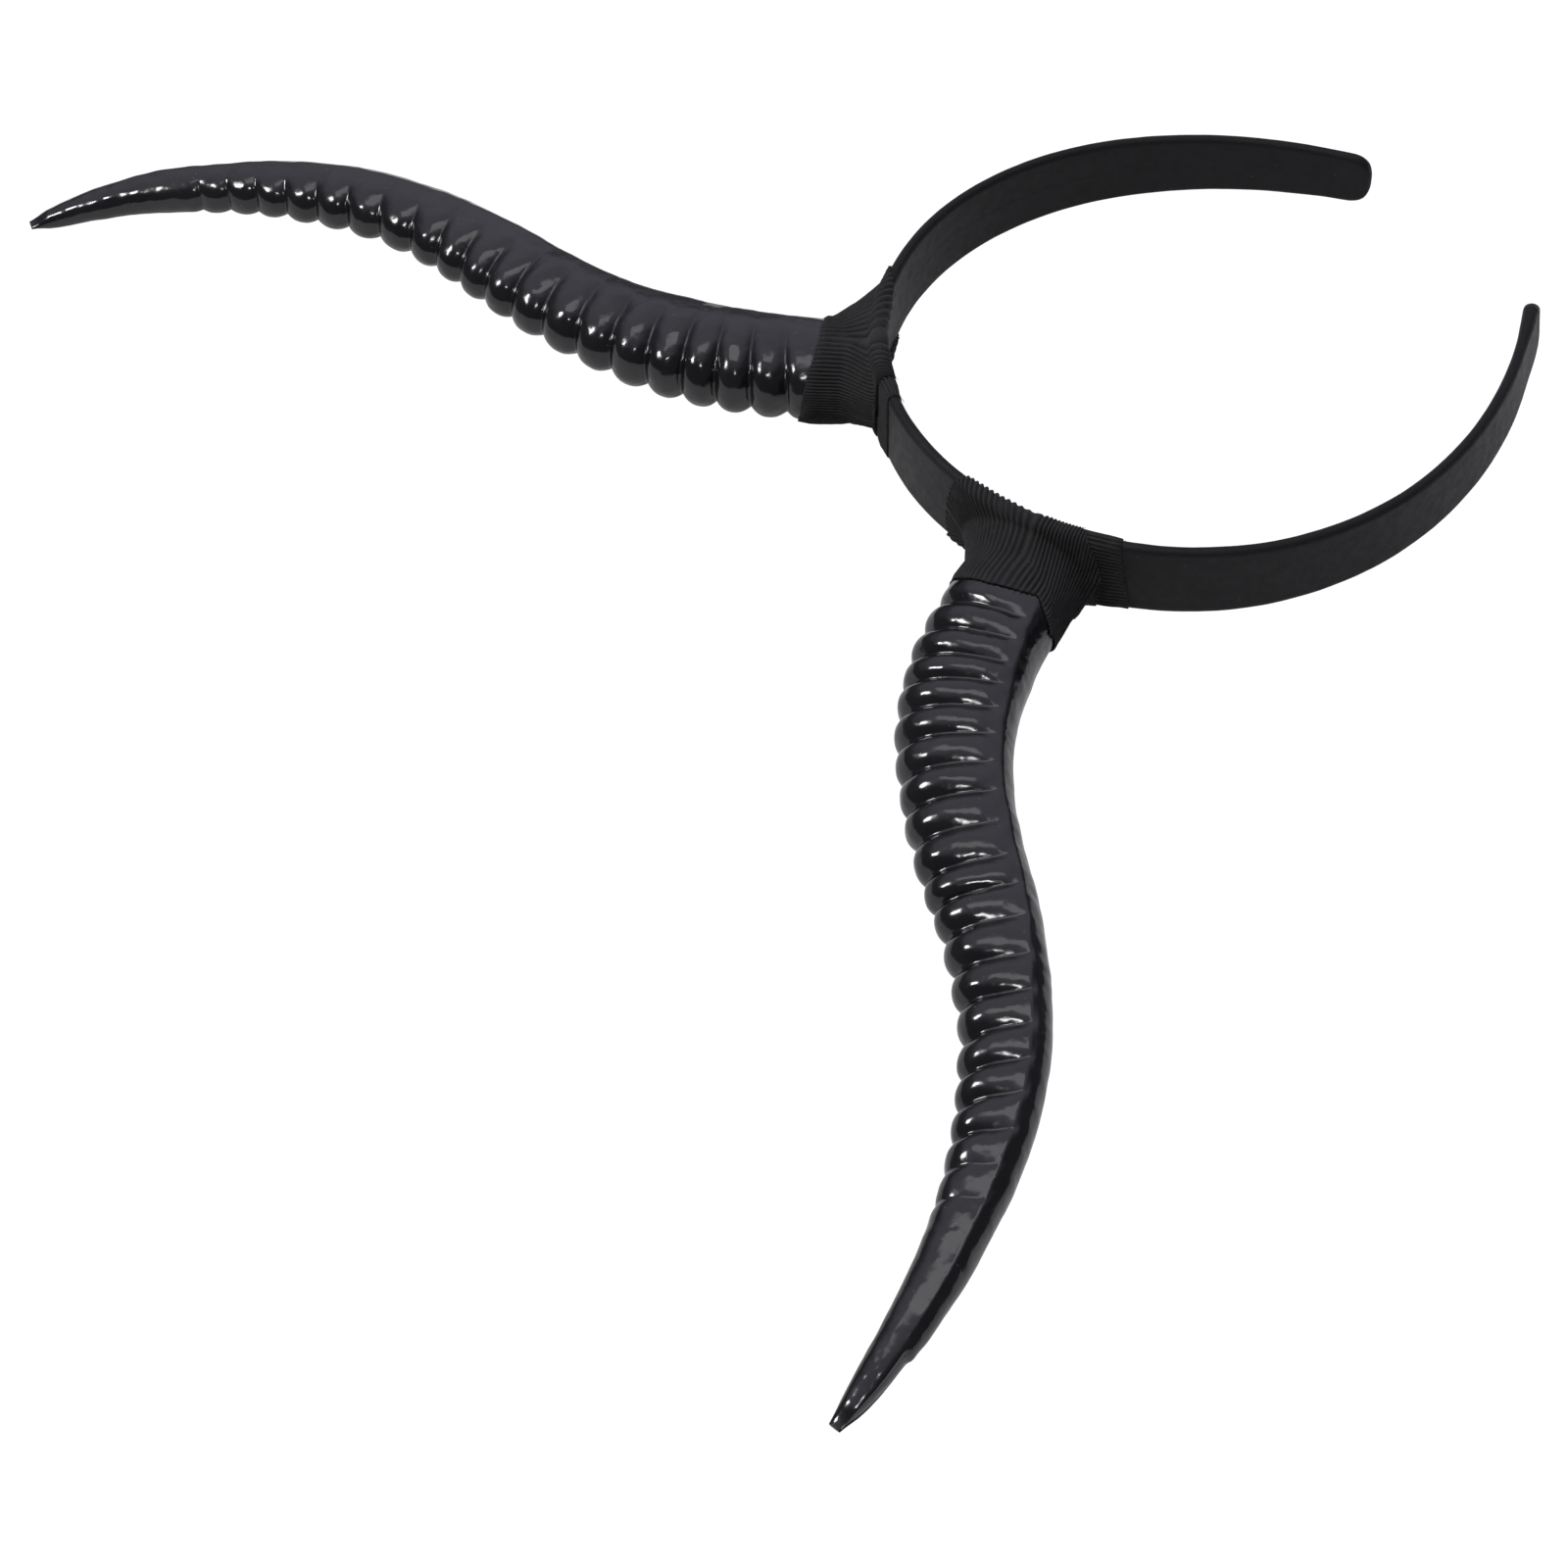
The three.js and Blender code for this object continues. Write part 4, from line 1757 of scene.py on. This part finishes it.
@dataclass
class Frays:
    """Loose fibres on the cut edges of a wrap's ribbon."""

    wrap: RibbonWrap
    per_edge: int = 36
    lowest: float = -5.0
    spread: float = 0.45
    length: float = 0.0011
    radius: float = 0.00004
    curl: float = 0.35
    seed: int = 4

    def shell(self, kit: Kit) -> Shell:
        """Roots of the fibres, each with the way that it leans.

        Args:
            kit: What the pieces are made with.

        Returns:
            A shell of bare points.
        """
        draw = np.random.default_rng(self.seed)
        roots = []
        leans = []
        for edge, behind in self.wrap.cut_edges():
            pick = draw.choice(np.flatnonzero(edge[:, 2] > self.lowest), self.per_edge)
            ahead = edge[pick] - behind[pick]
            ahead = ahead / np.linalg.norm(ahead, axis=-1, keepdims=True)
            roots.append(edge[pick] - ahead * self.wrap.edge_thick)
            leans.append(ahead + draw.normal(0.0, self.spread, ahead.shape))
        side = self.wrap.horn.line.seat.side
        lean = np.concatenate(leans) * (side.value, 1.0, 1.0) @ kit.lying.turn().T
        none = np.empty((0, 4), dtype=int)
        return Shell(np.concatenate(roots), none, none[:, :3], {Attr.LEAN: lean})

    def build(self, kit: Kit) -> bpy.types.Object:
        """Makes the fibres and dresses them in ribbon.

        Args:
            kit: What the pieces are made with.

        Returns:
            The fibres.
        """
        side = self.wrap.horn.line.seat.side
        piece = mesh_object(f"ribbon_frays_{side.label}", self.shell(kit), kit.lying, side)
        sizes = {
            "Length": self.length,
            "Radius": self.radius,
            "Curl": self.curl,
            "Seed": self.seed,
            "Material": kit.materials[WRAP_RIBBON.name],
        }
        settle(piece, kit.fibres, sizes)
        return kit.keep(piece)


# Studio


@dataclass(frozen=True)
class SoftBox:
    """Rectangular lamp that faces the headband: where it is, its size in metres and its radiance."""

    name: str
    azimuth: float
    elevation: float
    width: float
    height: float
    radiance: float
    distance: float = 1.3


@dataclass
class Studio:
    """Camera, floor and lights.

    The camera's target and distance are in millimetres, what it can see starts at near metres, and the
    floor is in metres. Room spread is the cosines, from the room's bright place, between which it goes
    from dim to bright.
    """

    target: tuple[float, float, float] = (54.414, -61.944, 12.0)
    azimuth: float = 62.366
    elevation: float = 48.637
    roll: float = 1.437
    distance: float = 646.64
    lens: float = 78.75
    sensor: float = 36.0
    near: float = 0.01
    floor_radius: float = 6.0
    floor_sides: int = 96
    floor_rough: float = 0.9
    floor_specular: float = 0.1
    floor_colour: Colour = (0.72, 0.72, 0.72)
    floor_wash: float = 0.92
    floor_gleam: float = 0.25
    floor_glow: float = 1.1
    room_azimuth: float = 242.0
    room_elevation: float = 62.0
    room_spread: tuple[float, float] = (0.5, 0.95)
    room_dim: float = 0.12
    room_bright: float = 0.8
    room_tint: Colour = (0.96, 0.95, 1.13)
    boxes: tuple[SoftBox, ...] = (
        SoftBox("top_box", azimuth=242.0, elevation=76.0, width=0.8, height=0.42, radiance=1.7),
        SoftBox("left_box", azimuth=-28.0, elevation=52.0, width=0.26, height=0.3, radiance=38.0),
        SoftBox("near_box", azimuth=70.0, elevation=64.0, width=0.2, height=0.12, radiance=34.0),
    )

    @staticmethod
    def toward(azimuth: float, elevation: float) -> Vector:
        """Direction from the headband to a place round it.

        Args:
            azimuth: Angle round the headband, from -Y towards +X, in degrees.
            elevation: Angle over the floor, in degrees.

        Returns:
            The direction, one long.
        """
        turn = math.radians(azimuth)
        rise = math.radians(elevation)
        level = math.cos(rise)
        return Vector((math.sin(turn) * level, -math.cos(turn) * level, math.sin(rise)))

    def camera(self) -> None:
        """Camera at the photograph's viewing angle."""
        back = self.toward(self.azimuth, self.elevation)
        turn = math.radians(self.azimuth)
        right = Vector((math.cos(turn), math.sin(turn), 0.0))
        up = back.cross(right)
        roll = math.radians(self.roll)
        axes = (
            right * math.cos(roll) + up * math.sin(roll),
            up * math.cos(roll) - right * math.sin(roll),
            back,
        )
        data = bpy.data.cameras.new("view")
        data.lens = self.lens
        data.sensor_width = self.sensor
        data.clip_start = self.near
        camera = bpy.data.objects.new("view", data)
        place = (Vector(self.target) + back * self.distance) * MM
        camera.matrix_world = Matrix.Translation(place) @ Matrix(axes).transposed().to_4x4()
        bpy.context.scene.collection.objects.link(camera)
        bpy.context.scene.camera = camera

    def floor(self) -> None:
        """Plain pale floor."""
        mesh = bpy.data.meshes.new("floor")
        turns = np.linspace(0.0, 2.0 * math.pi, self.floor_sides, endpoint=False)
        ring = [(self.floor_radius * math.cos(t), self.floor_radius * math.sin(t), 0.0) for t in turns]
        mesh.from_pydata(ring, [], [list(range(len(ring)))])
        material = bpy.data.materials.new("floor_paper")
        material.use_nodes = True
        shader = material.node_tree.nodes["Principled BSDF"]
        shader.inputs["Base Color"].default_value = (*self.floor_colour, 1.0)
        shader.inputs["Roughness"].default_value = self.floor_rough
        shader.inputs["Specular IOR Level"].default_value = self.floor_specular
        bench = Bench(material.node_tree)
        white = bench.add("ShaderNodeEmission", {"Strength": self.floor_glow})
        path = bench.add("ShaderNodeLightPath")
        seen = bench.math("MULTIPLY", path.outputs["Is Camera Ray"], self.floor_wash)
        mirrored = bench.math("MULTIPLY", path.outputs["Is Glossy Ray"], self.floor_gleam)
        wash = bench.add(
            "ShaderNodeMixShader",
            {0: bench.math("ADD", seen, mirrored), 1: shader.outputs[0], 2: white.outputs[0]},
        )
        bench.feed(material.node_tree.nodes["Material Output"].inputs["Surface"], wash.outputs[0])
        mesh.materials.append(material)
        floor = bpy.data.objects.new("floor", mesh)
        bpy.context.scene.collection.objects.link(floor)

    def lights(self) -> None:
        """Soft boxes and a room that is brighter behind the headband."""
        aim = Vector(self.target) * MM
        for box in self.boxes:
            data = bpy.data.lights.new(box.name, "AREA")
            data.shape = "RECTANGLE"
            data.size = box.width
            data.size_y = box.height
            data.energy = box.radiance * math.pi * box.width * box.height
            lamp = bpy.data.objects.new(box.name, data)
            back = self.toward(box.azimuth, box.elevation)
            lamp.location = aim + back * box.distance
            lamp.rotation_euler = back.to_track_quat("Z", "Y").to_euler()
            bpy.context.scene.collection.objects.link(lamp)
        world = bpy.data.worlds.new("room")
        world.use_nodes = True
        bpy.context.scene.world = world
        bench = Bench(world.node_tree)
        way = bench.add("ShaderNodeTexCoord").outputs["Generated"]
        bright = self.toward(self.room_azimuth, self.room_elevation)
        near = bench.add("ShaderNodeVectorMath", {0: way, 1: bright}, operation="DOT_PRODUCT")
        dim_at, bright_at = self.room_spread
        glow = bench.add(
            "ShaderNodeMapRange",
            {
                "Value": near.outputs["Value"],
                "From Min": dim_at,
                "From Max": bright_at,
                "To Min": self.room_dim,
                "To Max": self.room_bright,
            },
            interpolation_type="SMOOTHSTEP",
        )
        room = world.node_tree.nodes["Background"]
        room.inputs["Color"].default_value = (*self.room_tint, 1.0)
        bench.feed(room.inputs["Strength"], glow.outputs[0])
        white = {"Color": (1.0, 1.0, 1.0, 1.0), "Strength": self.floor_glow}
        wall = bench.add("ShaderNodeBackground", white)
        path = bench.add("ShaderNodeLightPath")
        seen = bench.add(
            "ShaderNodeMixShader",
            {0: path.outputs["Is Camera Ray"], 1: room.outputs[0], 2: wall.outputs[0]},
        )
        bench.feed(world.node_tree.nodes["World Output"].inputs["Surface"], seen.outputs[0])

    def build(self) -> None:
        """Sets up the studio."""
        bpy.context.scene.view_settings.view_transform = "Standard"
        self.camera()
        self.floor()
        self.lights()


def write_sizes() -> None:
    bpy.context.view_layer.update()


def main() -> None:
    """Builds the studio, then the headband piece by piece."""
    logging.basicConfig(level=logging.INFO, format="%(message)s")
    Studio().build()
    kit = Kit.stocked()
    band = Headband()
    pieces = [band.build(kit)]
    for seat in SEATS:
        right = seat.side is Side.RIGHT
        horn = Horn(HornLine(seat, band.line), RIGHT_RIDGES if right else LEFT_RIDGES)
        wrap = RibbonWrap(horn, RIGHT_WRAP if right else LEFT_WRAP)
        pieces += [horn.build(kit), wrap.build(kit), Frays(wrap).build(kit)]
    for piece in pieces:
        LOG.info("%s: %d faces", piece.name, len(piece.data.polygons))
    write_sizes()


if __name__ == "__main__":
    main()
